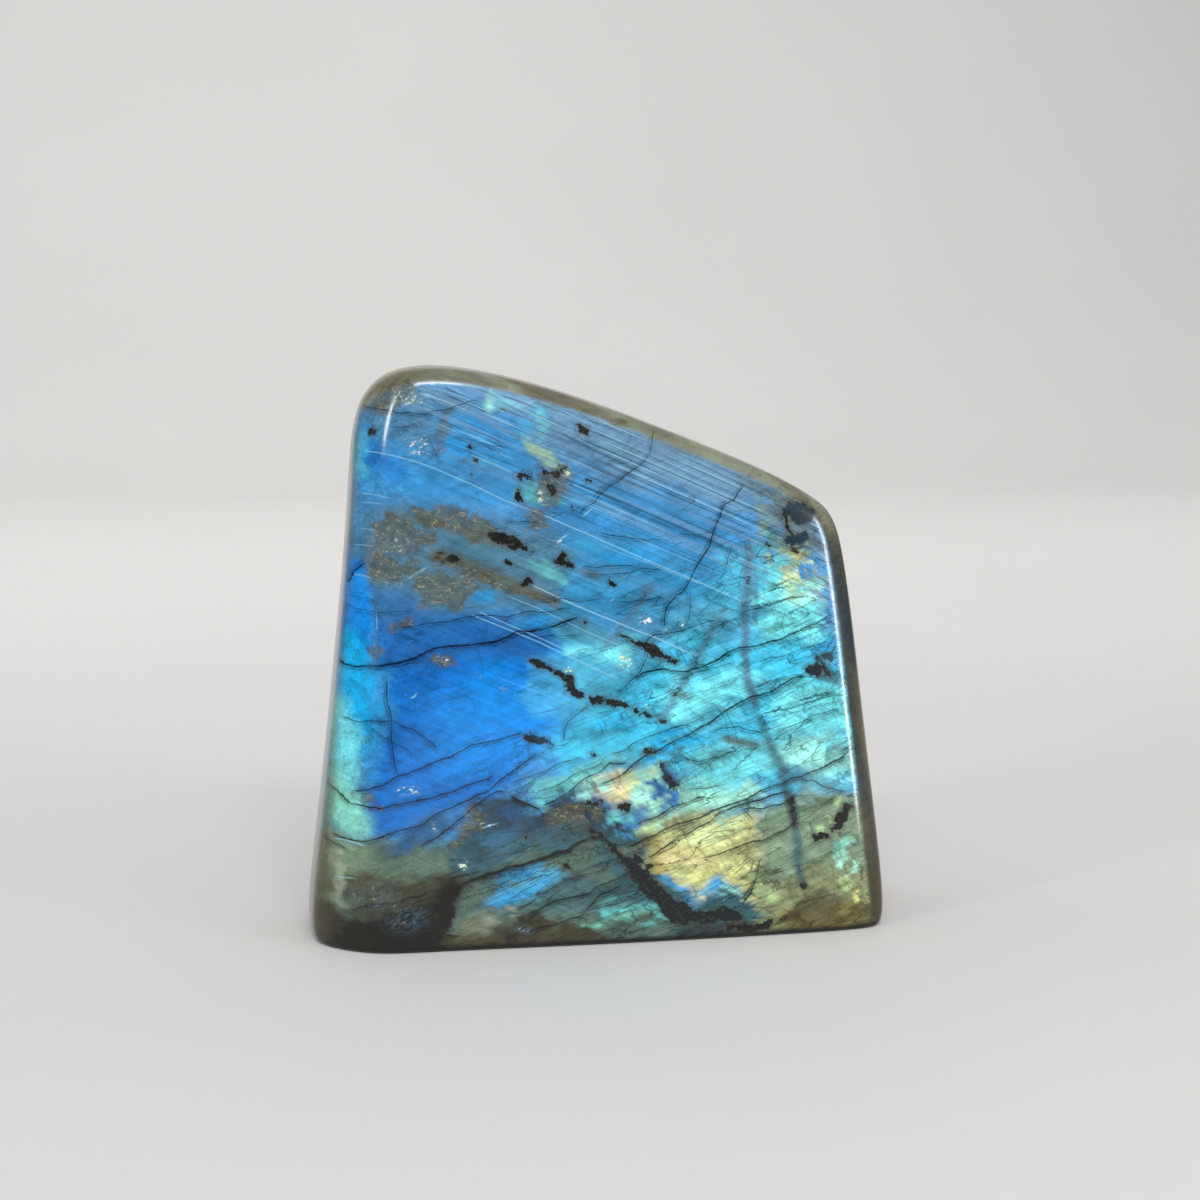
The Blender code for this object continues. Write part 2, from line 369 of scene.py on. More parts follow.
# Cleavage cracks of the front face: how strong, which sets how wide and dark they are, and their way.
FRONT_CRACKS = (
    # across the upper left
    (0.59, ((-47, 102.2), (-42, 103.2), (-38, 103.4), (-34, 103.3), (-29, 104.6), (-24, 106))),
    (0.49, ((-42.5, 100.3), (-38, 100.7), (-35, 102))),
    (0.49, ((-34, 99.5), (-33, 96), (-31, 93.5))),
    (0.49, ((-30, 99.3), (-26, 98.5), (-22, 97.2), (-19, 97))),
    (0.57, ((11, 99.5), (10, 98.5), (9, 95), (8, 93.5), (5, 92), (2, 90), (0, 88.5), (-2, 86.3),
                  (-6, 83.5))),
    (0.71, ((28.7, 89.2), (26, 86), (23.8, 85), (21.9, 80.9), (20.8, 77.1), (18.5, 74),
                 (16.6, 70.5), (14.5, 68), (12, 65.7), (11.5, 64), (11.6, 62), (10.9, 61))),
    (0.46, ((25.6, 77.9), (24.2, 74.6), (23.8, 72), (22.6, 69.8))),
    (0.52, ((-20, 82.7), (-16, 82.7), (-12, 82))),
    (0.54, ((-2, 80.3), (4, 79.5), (8, 78.7), (12, 78.8))),
    (0.49, ((14, 79.6), (18, 79), (22, 80))),
    # the nose
    (0.7, ((-45.6, 73.8), (-47, 72.5), (-48.3, 70.8), (-48.8, 69), (-50, 67))),
    (0.45, ((-50, 65.8), (-46, 66.5), (-43.6, 66.8))),
    (0.41, ((-51, 63.6), (-48, 64), (-44, 64.4), (-41, 65.2), (-37, 66.2))),
    # the long one across the blue
    (0.94, ((-52.6, 52.3), (-50, 52.8), (-48, 53.4), (-45, 54.2), (-42.5, 55.2), (-40, 56),
                  (-37, 57.2), (-34, 58.6), (-31, 59), (-27, 59.3), (-23, 59.7), (-20, 60.2),
                  (-17.5, 61.4), (-13, 62), (-9, 63), (-5, 64))),
    (0.62, ((-41, 62.5), (-38, 62.8), (-33, 63.7), (-28, 64.6), (-25, 64.8), (-20, 64.5),
                 (-15, 65.3), (-10, 65.5), (-6, 66))),
    (0.52, ((-42, 61.5), (-39, 60.8), (-36, 59.5))),
    (0.61, ((-43, 53.5), (-42.8, 51), (-43.2, 48.5), (-42.6, 46.5), (-42.3, 44), (-42.4, 41),
                 (-42, 38), (-41.6, 36), (-40.8, 33.5))),
    (0.62, ((-52, 42.2), (-48, 43.1), (-46, 43.8), (-42.2, 44.4), (-40, 43.9), (-36, 41.8),
                  (-34.5, 40.7), (-33, 39))),
    (0.56, ((-47.2, 42.8), (-45, 42), (-42.5, 40.7), (-40, 39.5), (-37.5, 38.2))),
    (0.39, ((-50.4, 50.6), (-48, 49.8), (-46, 49.2))),
    # dark lines between the lamellae
    (0.59, ((-5, 73.6), (0, 73.9), (4, 74), (6, 73.6))),
    (0.52, ((-4.6, 72.3), (2, 72.4), (8, 73), (12, 72.9))),
    (0.52, ((0, 68.1), (-5, 67.2), (-10, 67.6), (-14, 66.9))),
    (0.52, ((1.5, 67), (5, 66.8), (10, 67.4), (12.6, 67.7))),
    (0.54, ((-16, 60.2), (-12, 60.6), (-8, 60.6), (-4, 60.8))),
    (0.52, ((16.4, 69), (16.4, 66), (16.2, 62.5), (15.4, 61))),
    (0.62, ((22, 62.6), (16, 61.2), (13, 60.4), (9.5, 60.3), (8, 59.3), (7.5, 57.5), (7.8, 55.8),
                 (7, 54), (5, 52), (3, 50), (1, 48.8))),
    # the fan that climbs to the right
    (0.8, ((4.4, 51.6), (7, 53.2), (10, 53.4), (13, 53.3), (16, 52.9), (20, 53.8), (22, 55.2),
                 (24, 56.3), (27, 57), (30, 57.3), (34, 58), (38, 59.2), (40, 60.2), (42, 60.5),
                 (44, 60.3))),
    (0.52, ((8, 50), (12, 51), (16, 52), (22, 53.6), (26, 54.6))),
    (0.54, ((30, 54), (35, 54.9), (38, 55.6), (42, 56.5), (45.4, 57.7))),
    (0.43, ((21, 61), (25, 62.6), (28, 64.3), (32, 64.2), (36, 62.8), (39, 61.6))),
    (0.41, ((30, 60.3), (35, 60.7), (40, 61.3))),
    (0.92, ((-2.4, 31.4), (2, 33), (6, 36), (9, 37.4), (12, 39), (16, 40.6), (20, 42.3), (23, 44.5),
                (26, 46.2), (28, 47), (30, 47.6), (33, 48.3), (36, 49.5), (38, 50.5), (40, 51.3))),
    (0.59, ((29, 48.8), (33, 49.9), (37, 50.9))),
    (0.62, ((0, 37.2), (4, 38.6), (8, 40.6), (12, 41.8), (17, 43), (20, 44.2))),
    (0.49, ((11.5, 46), (15, 47.8), (20, 49), (25, 50.2))),
    (0.6, ((33, 39.5), (36, 41), (40, 42), (44, 43.5), (48, 43.4))),
    (0.49, ((38, 43.6), (44, 44.9), (47.8, 45.8))),
    (0.6, ((14, 36.6), (18, 35), (22, 36), (25, 36.6), (28, 38.2))),
    (0.63, ((20, 40.8), (23, 41.5), (26, 41.7), (28, 40.8), (32, 40.2))),
    (0.57, ((41.3, 32.8), (41.2, 34.5), (42.5, 36.5), (43, 38.2))),
    (0.52, ((43.9, 33.4), (44.3, 35.5), (45, 37.2))),
    # the strong one above the gold
    (0.94, ((5, 23), (8, 24.3), (10, 25.2), (12, 26.3), (15, 27.2), (20, 28.4))),
    (0.94, ((3, 19), (7, 20.7), (12, 22.5), (15, 23.5), (19, 24.7), (22, 25.8), (25, 26.4),
                 (28, 27.3), (31, 28.6), (34, 30), (36, 30.6), (38, 31), (40, 31.6), (43, 32.5),
                 (46, 33.5), (49, 34.3))),
    (0.85, ((7, 16.5), (9, 17.7), (12, 19.5), (15, 21), (17, 22), (20, 23.4), (22, 24.8),
                  (26, 26), (30, 26.8), (34, 27.8), (36.5, 28.6))),
    (0.71, ((26, 25.2), (31, 25.4), (34, 25.8), (37, 26.5))),
    (0.75, ((27.1, 25.4), (27, 24.8), (28, 24), (29.5, 22.9))),
    (0.62, ((37.4, 30.8), (41, 30), (44, 28.8), (47, 27.5), (49, 27.2))),
    (0.52, ((38, 24.3), (42, 25), (45, 26), (47, 27))),
    (0.75, ((18, 16), (20, 16.5), (24, 17.5), (28, 18.5), (32, 19.5), (36, 21), (38, 22.4))),
    (0.49, ((18, 19.4), (22, 20.2), (26, 21), (30, 22.2))),
    (0.73, ((30.8, 16.4), (29.8, 15), (29.5, 13), (29, 11), (28.3, 9), (27, 7.3), (26, 6.2))),
    (0.39, ((45.6, 10.4), (48, 12), (50, 14))),
    (0.39, ((41, 13), (45, 15.5), (48, 17.5))),
    (0.39, ((45, 7.4), (48, 9), (50.4, 11))),
    (0.49, ((30, 5), (33, 5.8), (36, 7.4))),
    # the blue's lower edge and the dark lower left
    (0.7, ((-49.8, 28.9), (-48, 30), (-45, 31.8), (-42, 33.5), (-39, 35), (-35, 36.4),
                  (-31, 38), (-27, 39.5), (-24.5, 40.3), (-22, 40.6), (-18.6, 41.6), (-16.6, 42.6))),
    (0.88, ((-55, 28.6), (-52.5, 28), (-50, 27.1), (-46, 27.5), (-42, 28.5), (-38, 29.3),
                 (-34, 30.3), (-31, 31), (-27, 32.4), (-22, 34))),
    (0.8, ((-54, 19.8), (-52, 20), (-50, 20.5), (-47, 21), (-44, 22.5), (-40, 23.8),
                 (-36, 25.4), (-33, 27.2), (-30, 28.5), (-27, 29.5), (-24, 31), (-22, 32.2),
                 (-20, 34), (-18, 35.5), (-16, 37), (-13.8, 38.8))),
    (0.73, ((-56, 18), (-53, 18), (-50, 18.6))),
    (0.78, ((-38, 20.6), (-35, 21.8), (-32, 23.5), (-29, 26), (-26, 28.4), (-24, 30),
                (-22, 30.6), (-20, 30.5))),
    (1.2, ((-20, 30.2), (-18, 29), (-16, 28.3), (-14.5, 27.5), (-13, 26.8))),
    (0.85, ((-14, 28), (-11, 28.2), (-9, 29.6), (-7, 31), (-4, 33), (-2, 34.2), (0, 35.2),
                  (2, 35.6), (4.4, 35.7))),
    (0.59, ((-14, 30), (-10, 31.9), (-6, 33.9), (-3, 35.2), (0, 37))),
    (0.57, ((-20, 32), (-16, 33.3), (-12, 34.8), (-8, 36.4), (-5, 37.4))),
    (0.52, ((-17, 36.6), (-13, 38.2), (-8, 40), (-6, 41.4))),
    (0.62, ((-3, 47.2), (-5.5, 46), (-8, 44), (-8.6, 42), (-9.2, 39.4))),
    (1.31, ((-32, 11.6), (-28, 13.4), (-24, 14.8), (-20, 16), (-16, 16.8), (-12, 18), (-8, 19.3),
                 (-5, 20.8), (-1.6, 21.8))),
    (0.76, ((-50.6, 6.6), (-47.7, 8.6), (-44, 9.6), (-40, 10.4), (-35, 12))),
    (0.84, ((-17, 6.4), (-12, 8.6), (-6, 10), (-2, 11.7), (2, 13.5), (4.4, 14.6))),
    (0.77, ((-6, 6.2), (-4, 8.2), (-1, 10.4), (3, 12.5))),
    (0.77, ((-17, 3.8), (-11, 4.3), (-8, 5.6), (-4.4, 6.4))),
    (0.52, ((-8, 14), (-4, 15.6), (0, 17.6))),
    (0.52, ((-10, 12.8), (-4, 14.2), (0, 15.8))),
)

# Pale growth lines of the front face: how bright, and the way they run.
FRONT_LINES = (
    (0.6, ((-47, 98.8), (-42, 96.8), (-34, 93.8), (-26, 90.3), (-20, 87.3), (-12.3, 84.3),
                 (7.2, 75.6), (20, 70.2), (28, 66.6))),
    (0.7, ((-15.6, 71.3), (-9, 68), (-4, 65.7), (0, 64), (5, 61.9), (10, 59.9), (17.5, 56.3))),
    (0.5, ((-20, 69), (-14, 66.5), (-8, 63.5), (-4, 61.5), (2, 58.8), (6, 57))),
    (0.6, ((-27, 65.6), (-20, 62.6), (-14, 60), (-8, 57), (-3, 54.5), (2, 52.2))),
    (0.55, ((-26, 66.4), (-20, 63.6), (-14, 60.9), (-5, 56.5))),
    (0.3, ((-22, 53.4), (-14, 50), (-8, 47.5), (0, 44.5), (6, 42.5))),
    (0.4, ((-2, 78.8), (2, 77), (8, 74.8), (13, 72.7), (20, 70))),
    (0.45, ((26, 76), (31, 73.6), (36, 71.3), (41, 69))),
    (0.5, ((-47.6, 90.8), (-44, 89.4), (-41, 88))),
    (0.5, ((-47.6, 89), (-42.5, 87.3))),
    (0.5, ((-47.8, 84), (-43, 82.2))),
    (0.5, ((-49.4, 75.4), (-47, 74.6), (-44, 73), (-41, 71.6))),
    (0.45, ((-49, 81.2), (-43.7, 79.3))),
    (0.6, ((-36, 108.2), (-31, 106.2), (-26, 104.2))),
    (0.5, ((-34, 109.2), (-29, 107.5), (-24, 105.6))),
    (0.85, ((-53.8, 24.5), (-50, 23), (-47, 21.6))),
    (0.6, ((-54, 16.9), (-49, 15.6))),
    (0.95, ((-39, 72.3), (-36.6, 73.8), (-34.3, 74.9))),
    (0.8, ((-38.8, 49.6), (-37.8, 50), (-37, 50.9))),
    (0.8, ((-10, 78.5), (-8.4, 80), (-7, 80.7))),
    (0.7, ((-5, 83.5), (-2.3, 85.7))),
    (0.6, ((0.3, 67.2), (1.7, 68))),
    (0.7, ((-26, 23.7), (-24, 24.5), (-21.4, 25.1))),
    (0.5, ((-44.6, 67.6), (-44.4, 62.6))),
)

# Wide soft bands of the front face: the colour, half the width, how much they cover, and their way.
FRONT_BANDS = (
    ("shade_blue", 1.0, 0.85, ((29, 79), (28.5, 72), (28, 66), (27.5, 60), (27.5, 56), (28, 51), (29.6, 47),
                              (30, 44.5))),
    ("deep_teal", 1.2, 0.75, ((30, 44.5), (33, 37), (35, 33), (37, 25), (38, 16), (39, 8.6))),
    ("shade_blue", 0.6, 0.6, ((30, 74), (29.8, 68), (29.6, 61))),
    ("shade_blue", 0.9, 0.7, ((9.6, 71), (8.7, 69.6), (4.2, 63.6), (-1.8, 56.8))),
    ("shade_blue", 0.9, 0.75, ((24.6, 66), (21.6, 62), (18.6, 57), (14.4, 50), (10, 43))),
    ("slate", 1.0, 0.6, ((36, 30), (36.6, 26.5), (37.2, 23), (38, 20))),
    ("brown_grey", 1.4, 0.75, ((-36, 77.4), (-29, 75.6), (-22, 72.6), (-14, 69), (-8, 66))),
    ("brown_grey", 0.8, 0.6, ((-6.4, 73.6), (-3.4, 72.7), (-0.6, 71.5))),
    ("brown_grey", 1.1, 0.5, ((-44, 85), (-34, 83), (-26, 80.4), (-18, 78))),
    ("bark", 0.9, 0.85, ((22, 40), (26, 39), (31, 37.8))),
    ("brown_grey", 0.7, 0.6, ((11, 49.6), (14, 48.6), (17, 48))),
    ("slate", 0.8, 0.5, ((6, 37), (10, 37.6), (15, 36.6))),
)

# Dark inclusions of the front face: how blue they are, and the points they run through, each with its
# half width there.
FRONT_INCLUSIONS = (
    # the group in the top right corner
    (0.5, ((37.6, 84.2, 1.5), (39.6, 83.4, 2.3), (41, 83.2, 1.5))),
    (0.2, ((35.2, 84.9, 0.4), (36.4, 84.2, 0.6))),
    (0.1, ((36.4, 82.9, 0.25), (36.8, 81.4, 0.35), (37.2, 80, 0.3), (38, 79.4, 0.5))),
    (0.6, ((36.8, 78.2, 0.8), (38.7, 78.3, 1.3), (40.6, 78.8, 0.7))),
    (0.0, ((32.7, 77.3, 0.4), (33.3, 77.3, 0.3))),
    (0.0, ((38, 76.5, 0.25), (39.4, 75.2, 0.3))),
    # the upper middle
    (0.0, ((-5, 100.9, 0.6), (-3.4, 100.1, 0.5))),
    (0.0, ((-17.3, 91.7, 0.5), (-15.6, 91.8, 0.5), (-14.5, 90.7, 0.35))),
    (0.0, ((-16.8, 88.9, 0.25), (-17, 87.6, 0.65), (-16.6, 87.2, 0.4))),
    (0.0, ((-12.6, 93.6, 0.2), (-11.6, 92.2, 0.6), (-9.6, 91.6, 0.5), (-8.4, 92.6, 0.35))),
    (0.1, ((-11, 89.4, 0.5), (-10, 88.4, 0.6))),
    (0.0, ((-6.6, 85.3, 0.3), (-6.4, 85.3, 0.3))),
    (0.0, ((-3.4, 90.4, 0.28), (-3.2, 90.4, 0.28))),
    (0.1, ((-26.3, 97, 0.3), (-26, 97, 0.3))),
    (0.1, ((-27.5, 94.4, 0.28), (-27.3, 94.4, 0.28))),
    (0.1, ((-25.2, 94.7, 0.28), (-25, 94.7, 0.28))),
    (0.1, ((-25.8, 92.2, 0.25), (-25.6, 92.2, 0.25))),
    (0.2, ((-45.2, 100.2, 0.5), (-44.6, 100, 0.5))),
    # under the veined patches
    (0.0, ((-22.9, 80.2, 0.35), (-20.6, 79.6, 0.8), (-18.6, 79, 1), (-16.6, 78.2, 0.9),
           (-15, 77.2, 0.4))),
    (0.0, ((-31.2, 75.9, 0.4), (-29.6, 75.8, 0.55), (-28.6, 75.6, 0.3))),
    (0.0, ((-33, 76.8, 0.2), (-32.2, 76.9, 0.25))),
    (0.0, ((-19.4, 75.2, 0.35), (-18.7, 74.7, 0.4))),
    (0.0, ((-9.8, 75, 0.3), (-8.6, 75.8, 0.65), (-8.4, 76.6, 0.25))),
    (0.0, ((-8.6, 75, 0.35), (-7.4, 74.6, 0.6), (-6.5, 74, 0.35))),
    (0.0, ((0.2, 71.1, 0.16), (1.4, 70.4, 0.18))),
    (0.0, ((-16.4, 71, 0.3), (-15.5, 71.3, 0.7), (-15.6, 72, 0.2))),
    (0.0, ((-4.8, 62.8, 0.35), (-4.1, 63.3, 0.4))),
    (0.0, ((-10.5, 67.9, 0.15), (-10.1, 67.8, 0.18))),
    # the two long streaks in the middle
    (0.1, ((2.6, 60.4, 0.36), (3.2, 60.2, 0.25), (4.6, 59.6, 0.2), (6.4, 58.6, 0.22), (7.6, 58.1, 0.65),
           (9.2, 57.2, 0.85), (10.6, 56.4, 0.75), (12, 55.5, 0.5), (13.7, 54.8, 0.22))),
    (0.1, ((-15.6, 56.5, 0.5), (-14, 55.7, 0.5), (-11.5, 54.6, 0.5), (-9.8, 53.7, 0.38),
           (-8.2, 52.9, 0.5), (-7.4, 52.1, 0.7), (-7.2, 51, 0.8), (-8.2, 50.5, 0.5))),
    (0.1, ((-7.2, 50.6, 0.5), (-6.4, 49.8, 0.5), (-5.6, 49.2, 0.35))),
    (0.1, ((-3.2, 48.2, 0.65), (-1.6, 48.2, 0.8), (0, 47.7, 0.7), (2, 47.3, 0.45), (4, 46.5, 0.4),
           (6, 45.4, 0.45), (7.8, 44.9, 0.45))),
    (0.6, ((9.6, 44, 0.3), (11.2, 43.2, 0.4))),
    (0.2, ((-16.3, 41.3, 0.4), (-15.2, 40.7, 0.8), (-14.4, 40.6, 0.8))),
    (1.0, ((-14, 40.8, 0.9), (-12.6, 40.6, 0.7), (-11.3, 39.8, 0.3))),
    (1.0, ((-15.8, 42.3, 0.3), (-15.2, 41.9, 0.3))),
    (0.3, ((-3.6, 38.2, 0.3), (-2.6, 36.9, 0.3))),
    (0.0, ((7, 37.8, 0.35), (9, 37.6, 0.4))),
    (0.0, ((13.4, 38, 0.2), (14.6, 37.8, 0.25))),
    # right edge
    (0.3, ((40.8, 52.5, 0.8), (42.4, 52.4, 1.3), (43.8, 52.8, 0.9), (45.4, 51, 0.3), (46.2, 49.8, 0.2))),
    (0.9, ((42.6, 54.4, 0.6), (45.4, 54.8, 0.7))),
    (0.0, ((48.4, 24.6, 0.8), (47.4, 23, 1.3), (46.6, 21.4, 1), (45.2, 20.2, 0.4))),
    (0.0, ((44.4, 19.5, 0.5), (43, 19.5, 0.55), (41.2, 19.2, 0.35))),
    (0.2, ((36.8, 26.8, 0.5), (36.9, 24.8, 0.45), (37.2, 22.8, 0.45))),
    (0.1, ((39, 9.9, 0.3), (39.4, 8.4, 0.3))),
    # below the middle
    (0.2, ((11.8, 32, 0.6), (12.8, 30.9, 0.8), (13.6, 31, 0.3))),
    (0.8, ((10.4, 35, 0.6), (11, 33.4, 0.5))),
    (0.0, ((2.6, 27, 0.5), (3.3, 26.9, 0.95), (4, 26.8, 0.4))),
    (0.1, ((-6, 28.4, 0.25), (-4.4, 28.1, 0.55), (-3.2, 27.8, 0.6), (-1.6, 28.4, 0.25))),
    (0.9, ((-4.9, 26.2, 0.4), (-4.3, 25, 0.5), (-3.4, 24, 0.35))),
    (0.1, ((-6.9, 23.8, 0.16), (-6.2, 23.8, 0.16))),
    (0.1, ((-4.6, 23.2, 0.4), (-4, 22.9, 0.45))),
    (0.0, ((-16.4, 22.3, 0.2), (-16, 22.3, 0.2))),
    (0.0, ((-9.2, 16.1, 0.28), (-8.6, 15.6, 0.2), (-7.8, 15.3, 0.1))),
    (0.1, ((-2.4, 22.4, 0.3), (-1, 20.8, 0.4), (0.4, 19, 0.5), (2, 17.4, 0.5), (4, 15.4, 1.2),
           (6, 13.4, 1.7), (8.4, 11, 1.2), (11, 8.6, 0.9), (13, 6.8, 1.5), (15.6, 5.2, 1.2),
           (19.4, 4.4, 1.1), (22, 5, 1.3), (25, 4.2, 1.1))),
    (0.1, ((5, 17, 0.4), (7.2, 15, 0.7))),
    (0.1, ((6, 11, 0.4), (9.4, 8.6, 0.8), (12, 5, 0.7), (14.6, 3.4, 0.5))),
    (0.0, ((24, 2.6, 0.7), (28, 1.8, 0.6), (32, 2.6, 0.8))),
    (0.0, ((-57, 7.4, 0.7), (-54.6, 6.9, 0.9), (-52.4, 6, 0.5))),
    (0.0, ((-49.8, 50.1, 0.2), (-50.2, 50.1, 0.2))),
    (0.0, ((-46.6, 41.3, 0.16), (-46.4, 41.3, 0.16))),
)

# Veined grey and gold patches of the front face, by outline.
FRONT_VEINED = (
    ((-45, 82), (-42, 83.6), (-38, 82.6), (-34, 80.6), (-32, 79.2), (-35, 78), (-38, 76.4), (-44, 77)),
    ((-37, 85.7), (-32, 86), (-29, 85), (-26, 83), (-21, 80.8), (-24, 79.6), (-29, 81), (-35, 81.6)),
    ((-37, 72.5), (-33, 73.5), (-29, 73.5), (-26.5, 72), (-26, 70.5), (-27.5, 68.5), (-28.2, 67),
     (-28, 65.5), (-30, 65.5), (-31.5, 67), (-34, 67.6), (-34.5, 66.5), (-36.8, 66.3), (-36, 69)),
    ((-34, 76), (-29, 75.4), (-20, 71.6), (-12, 67.8), (-14, 67.4), (-22, 70.4), (-30, 73.8)),
    ((-16, 86), (-13, 85.6), (-12, 82), (-15, 81)),
    ((-41, 65), (-38.6, 64.6), (-38.4, 63), (-41, 62.8)),
    ((-46.4, 58.6), (-44, 59.4), (-43.2, 58), (-45.4, 57)),
    ((-45.6, 106), (-43, 109.6), (-39, 111), (-37, 109.4), (-40, 107), (-43, 105)),
    ((0, 103), (4, 101.6), (5, 100.6), (2, 100.6)),
    ((-13, 93.4), (-9, 94), (-6.6, 92.4), (-8, 88), (-12, 85.8), (-13.6, 89)),
    ((-34.6, 57.6), (-31, 57.6), (-30, 56), (-31.6, 55), (-35, 55.4)),
    ((-50, 30), (-47, 29.6), (-44, 28.6), (-48, 27.4)),
    ((-28.4, 29), (-25, 27.6), (-26, 23.6), (-29, 22.6), (-30, 20), (-32, 19.8)),
    ((-12, 27.6), (-8, 28.6), (-2, 27), (-2.6, 24), (-8, 25), (-12, 25)),
    ((-46, 76), (-40, 76), (-36, 74), (-40, 72.6), (-45, 71.6)),
)

# Patches of bright sparkle in the front face, painted glints that stand in for light caught by cleavage
# flakes: the middle, the two half sizes and how dense.
FRONT_SPARKLE = (
    (-37.6, 106.4, 3.4, 2.2, 0.8),
    (-43, 102.4, 1.8, 1.6, 0.6),
    (-36.4, 97.6, 3, 2.6, 0.7),
    (-46.7, 93.8, 0.6, 0.8, 1.0),
    (-12.4, 87.4, 1.6, 1.6, 1.0),
    (-7.6, 92.4, 1.4, 1.4, 0.9),
    (-9, 78.9, 1.2, 0.9, 0.8),
    (-40.6, 78.6, 4, 2, 0.5),
    (-40.4, 71, 0.9, 0.4, 1.0),
    (-28, 71.4, 3, 2.4, 0.4),
    (-25.2, 53.4, 0.6, 0.4, 1.0),
    (-31.4, 56.6, 0.7, 0.5, 0.9),
    (-20.4, 50.8, 1, 0.7, 0.9),
    (7.4, 63.3, 2, 1.4, 1.0),
    (11.5, 61, 0.8, 0.8, 1.0),
    (15, 62.5, 0.7, 1, 1.0),
    (2.8, 55.4, 2.6, 2, 1.0),
    (-8, 54, 1.6, 0.7, 1.0),
    (-5, 58.4, 2, 0.6, 0.6),
    (7.8, 46.8, 1.3, 0.8, 1.0),
    (-0.2, 47.6, 0.6, 0.4, 1.0),
    (40.8, 51.9, 0.5, 0.4, 1.0),
    (41, 54.7, 0.4, 0.3, 1.0),
    (-39.2, 31.8, 2.6, 1.1, 1.0),
    (-34.4, 24.4, 1.2, 1.2, 0.9),
    (-27.8, 26.6, 0.9, 0.5, 1.0),
    (-24, 24.6, 2, 0.5, 1.0),
    (-28.8, 16.9, 1.8, 1.4, 0.9),
    (7.6, 14.4, 0.6, 0.3, 1.0),
    (23, 7.7, 0.8, 0.4, 1.0),
    (23.8, 5.6, 0.5, 0.8, 0.8),
    (-17.4, 3.8, 2.6, 0.9, 0.5),
    (-40, 7, 5, 3, 0.35),
    (-46, 11, 6, 3, 0.3),
)

# What the back shows: a darker face with weaker and wider patches of the same flash.
BACK_ZONES = (
    ("slate", 5.0, 1.0, ((-60, -4), (60, -4), (56, 90), (-30, 118), (-54, 112))),
    ("grey_green", 9.0, 0.8, ((-52, 8), (-20, 14), (6, 40), (20, 70), (-6, 98), (-40, 104), (-50, 60))),
    ("olive", 8.0, 0.7, ((10, 6), (46, 10), (46, 40), (30, 52), (14, 34))),
    ("deep", 5.0, 0.8, ((-40, 92), (-14, 96), (2, 82), (-10, 70), (-34, 74))),
    ("black", 4.0, 0.7, ((-52, 20), (-30, 26), (-18, 12), (-24, 3), (-54, 3))),
)
BACK_SPOTS = (
    ("royal", -24, 84, 11, 4, -22, 0.75),
    ("azure", -20, 85, 6, 1.8, -24, 0.6),
    ("teal", 12, 78, 10, 3.4, -24, 0.6),
    ("steel", 30, 64, 8, 4, -20, 0.6),
    ("sky", 34, 62, 4, 1.4, -20, 0.5),
    ("gold", 26, 26, 8, 3, 16, 0.6),
    ("green_yellow", 33, 30, 6, 2, 16, 0.5),
    ("turquoise", -8, 40, 8, 2.6, 18, 0.5),
    ("cyan", -12, 42, 4, 1.2, 18, 0.5),
    ("brown_grey", -38, 54, 8, 5, 60, 0.6),
    ("moss", 2, 20, 12, 5, 10, 0.6),
)
BACK_CRACKS = (
    (0.82, ((-50, 44), (-30, 50), (-10, 52), (10, 60), (34, 66), (48, 74))),
    (0.76, ((-52, 22), (-34, 30), (-16, 32), (2, 40), (26, 44), (50, 52))),
    (0.73, ((-30, 4), (-12, 12), (8, 16), (30, 26), (52, 28))),
    (0.62, ((-46, 78), (-24, 82), (-6, 88), (10, 90))),
    (0.59, ((8, 96), (4, 80), (-4, 64), (-6, 50))),
    (0.59, ((30, 86), (26, 66), (30, 46), (24, 30))),
    (0.52, ((-36, 100), (-38, 84), (-34, 64), (-40, 48))),
    (0.52, ((-48, 60), (-26, 66), (-8, 74), (16, 78))),
)
BACK_INCLUSIONS = (
    (0.2, ((-14, 58, 0.6), (-8, 55, 1.1), (-2, 52.6, 0.5))),
    (0.1, ((20, 36, 0.8), (25, 33, 1.4), (28, 31, 0.5))),
    (0.0, ((-40, 88, 0.6), (-36, 86, 1.1))),
    (0.5, ((36, 74, 0.8), (39, 73, 1.3))),
)

# How far a crack leans upward on its way through the stone, as a share of the depth.
CRACK_LEAN = 0.35
# The reach of a line's signed distance, and how far apart two lines of one layer stay.
LINE_REACH = 1.3
LINE_ROOM = 2.7
END_FADE = 1.6

NOISE_CELLS = 64


def named_colours(settings):
    """All the colours by name, the main ones as the user has set them."""
    colours = {name: np.array(screen_colour(*value)) for name, value in COLOURS.items()}
    for name in settings.__annotations__:
        colours[name] = np.array(getattr(settings, name))
    return colours


def smooth_step(value, start, end):
    share = np.clip((value - start) / (end - start), 0.0, 1.0)
    return share * share * (3.0 - 2.0 * share)


def hills(x, z, spacing, seed):
    """Smooth noise from -1 to 1 whose hills are about the spacing apart."""
    heights = np.random.default_rng(seed).uniform(-1.0, 1.0, (NOISE_CELLS, NOISE_CELLS))
    column = np.floor(x / spacing).astype(int)
    row = np.floor(z / spacing).astype(int)
    across = smooth_step(x / spacing - column, 0.0, 1.0)
    up = smooth_step(z / spacing - row, 0.0, 1.0)

    def corner(column_step, row_step):
        return heights[(column + column_step) % NOISE_CELLS, (row + row_step) % NOISE_CELLS]

    lower = corner(0, 0) * (1.0 - across) + corner(1, 0) * across
    upper = corner(0, 1) * (1.0 - across) + corner(1, 1) * across
    return lower * (1.0 - up) + upper * up


def segments(line):
    return zip(line[:-1], line[1:])


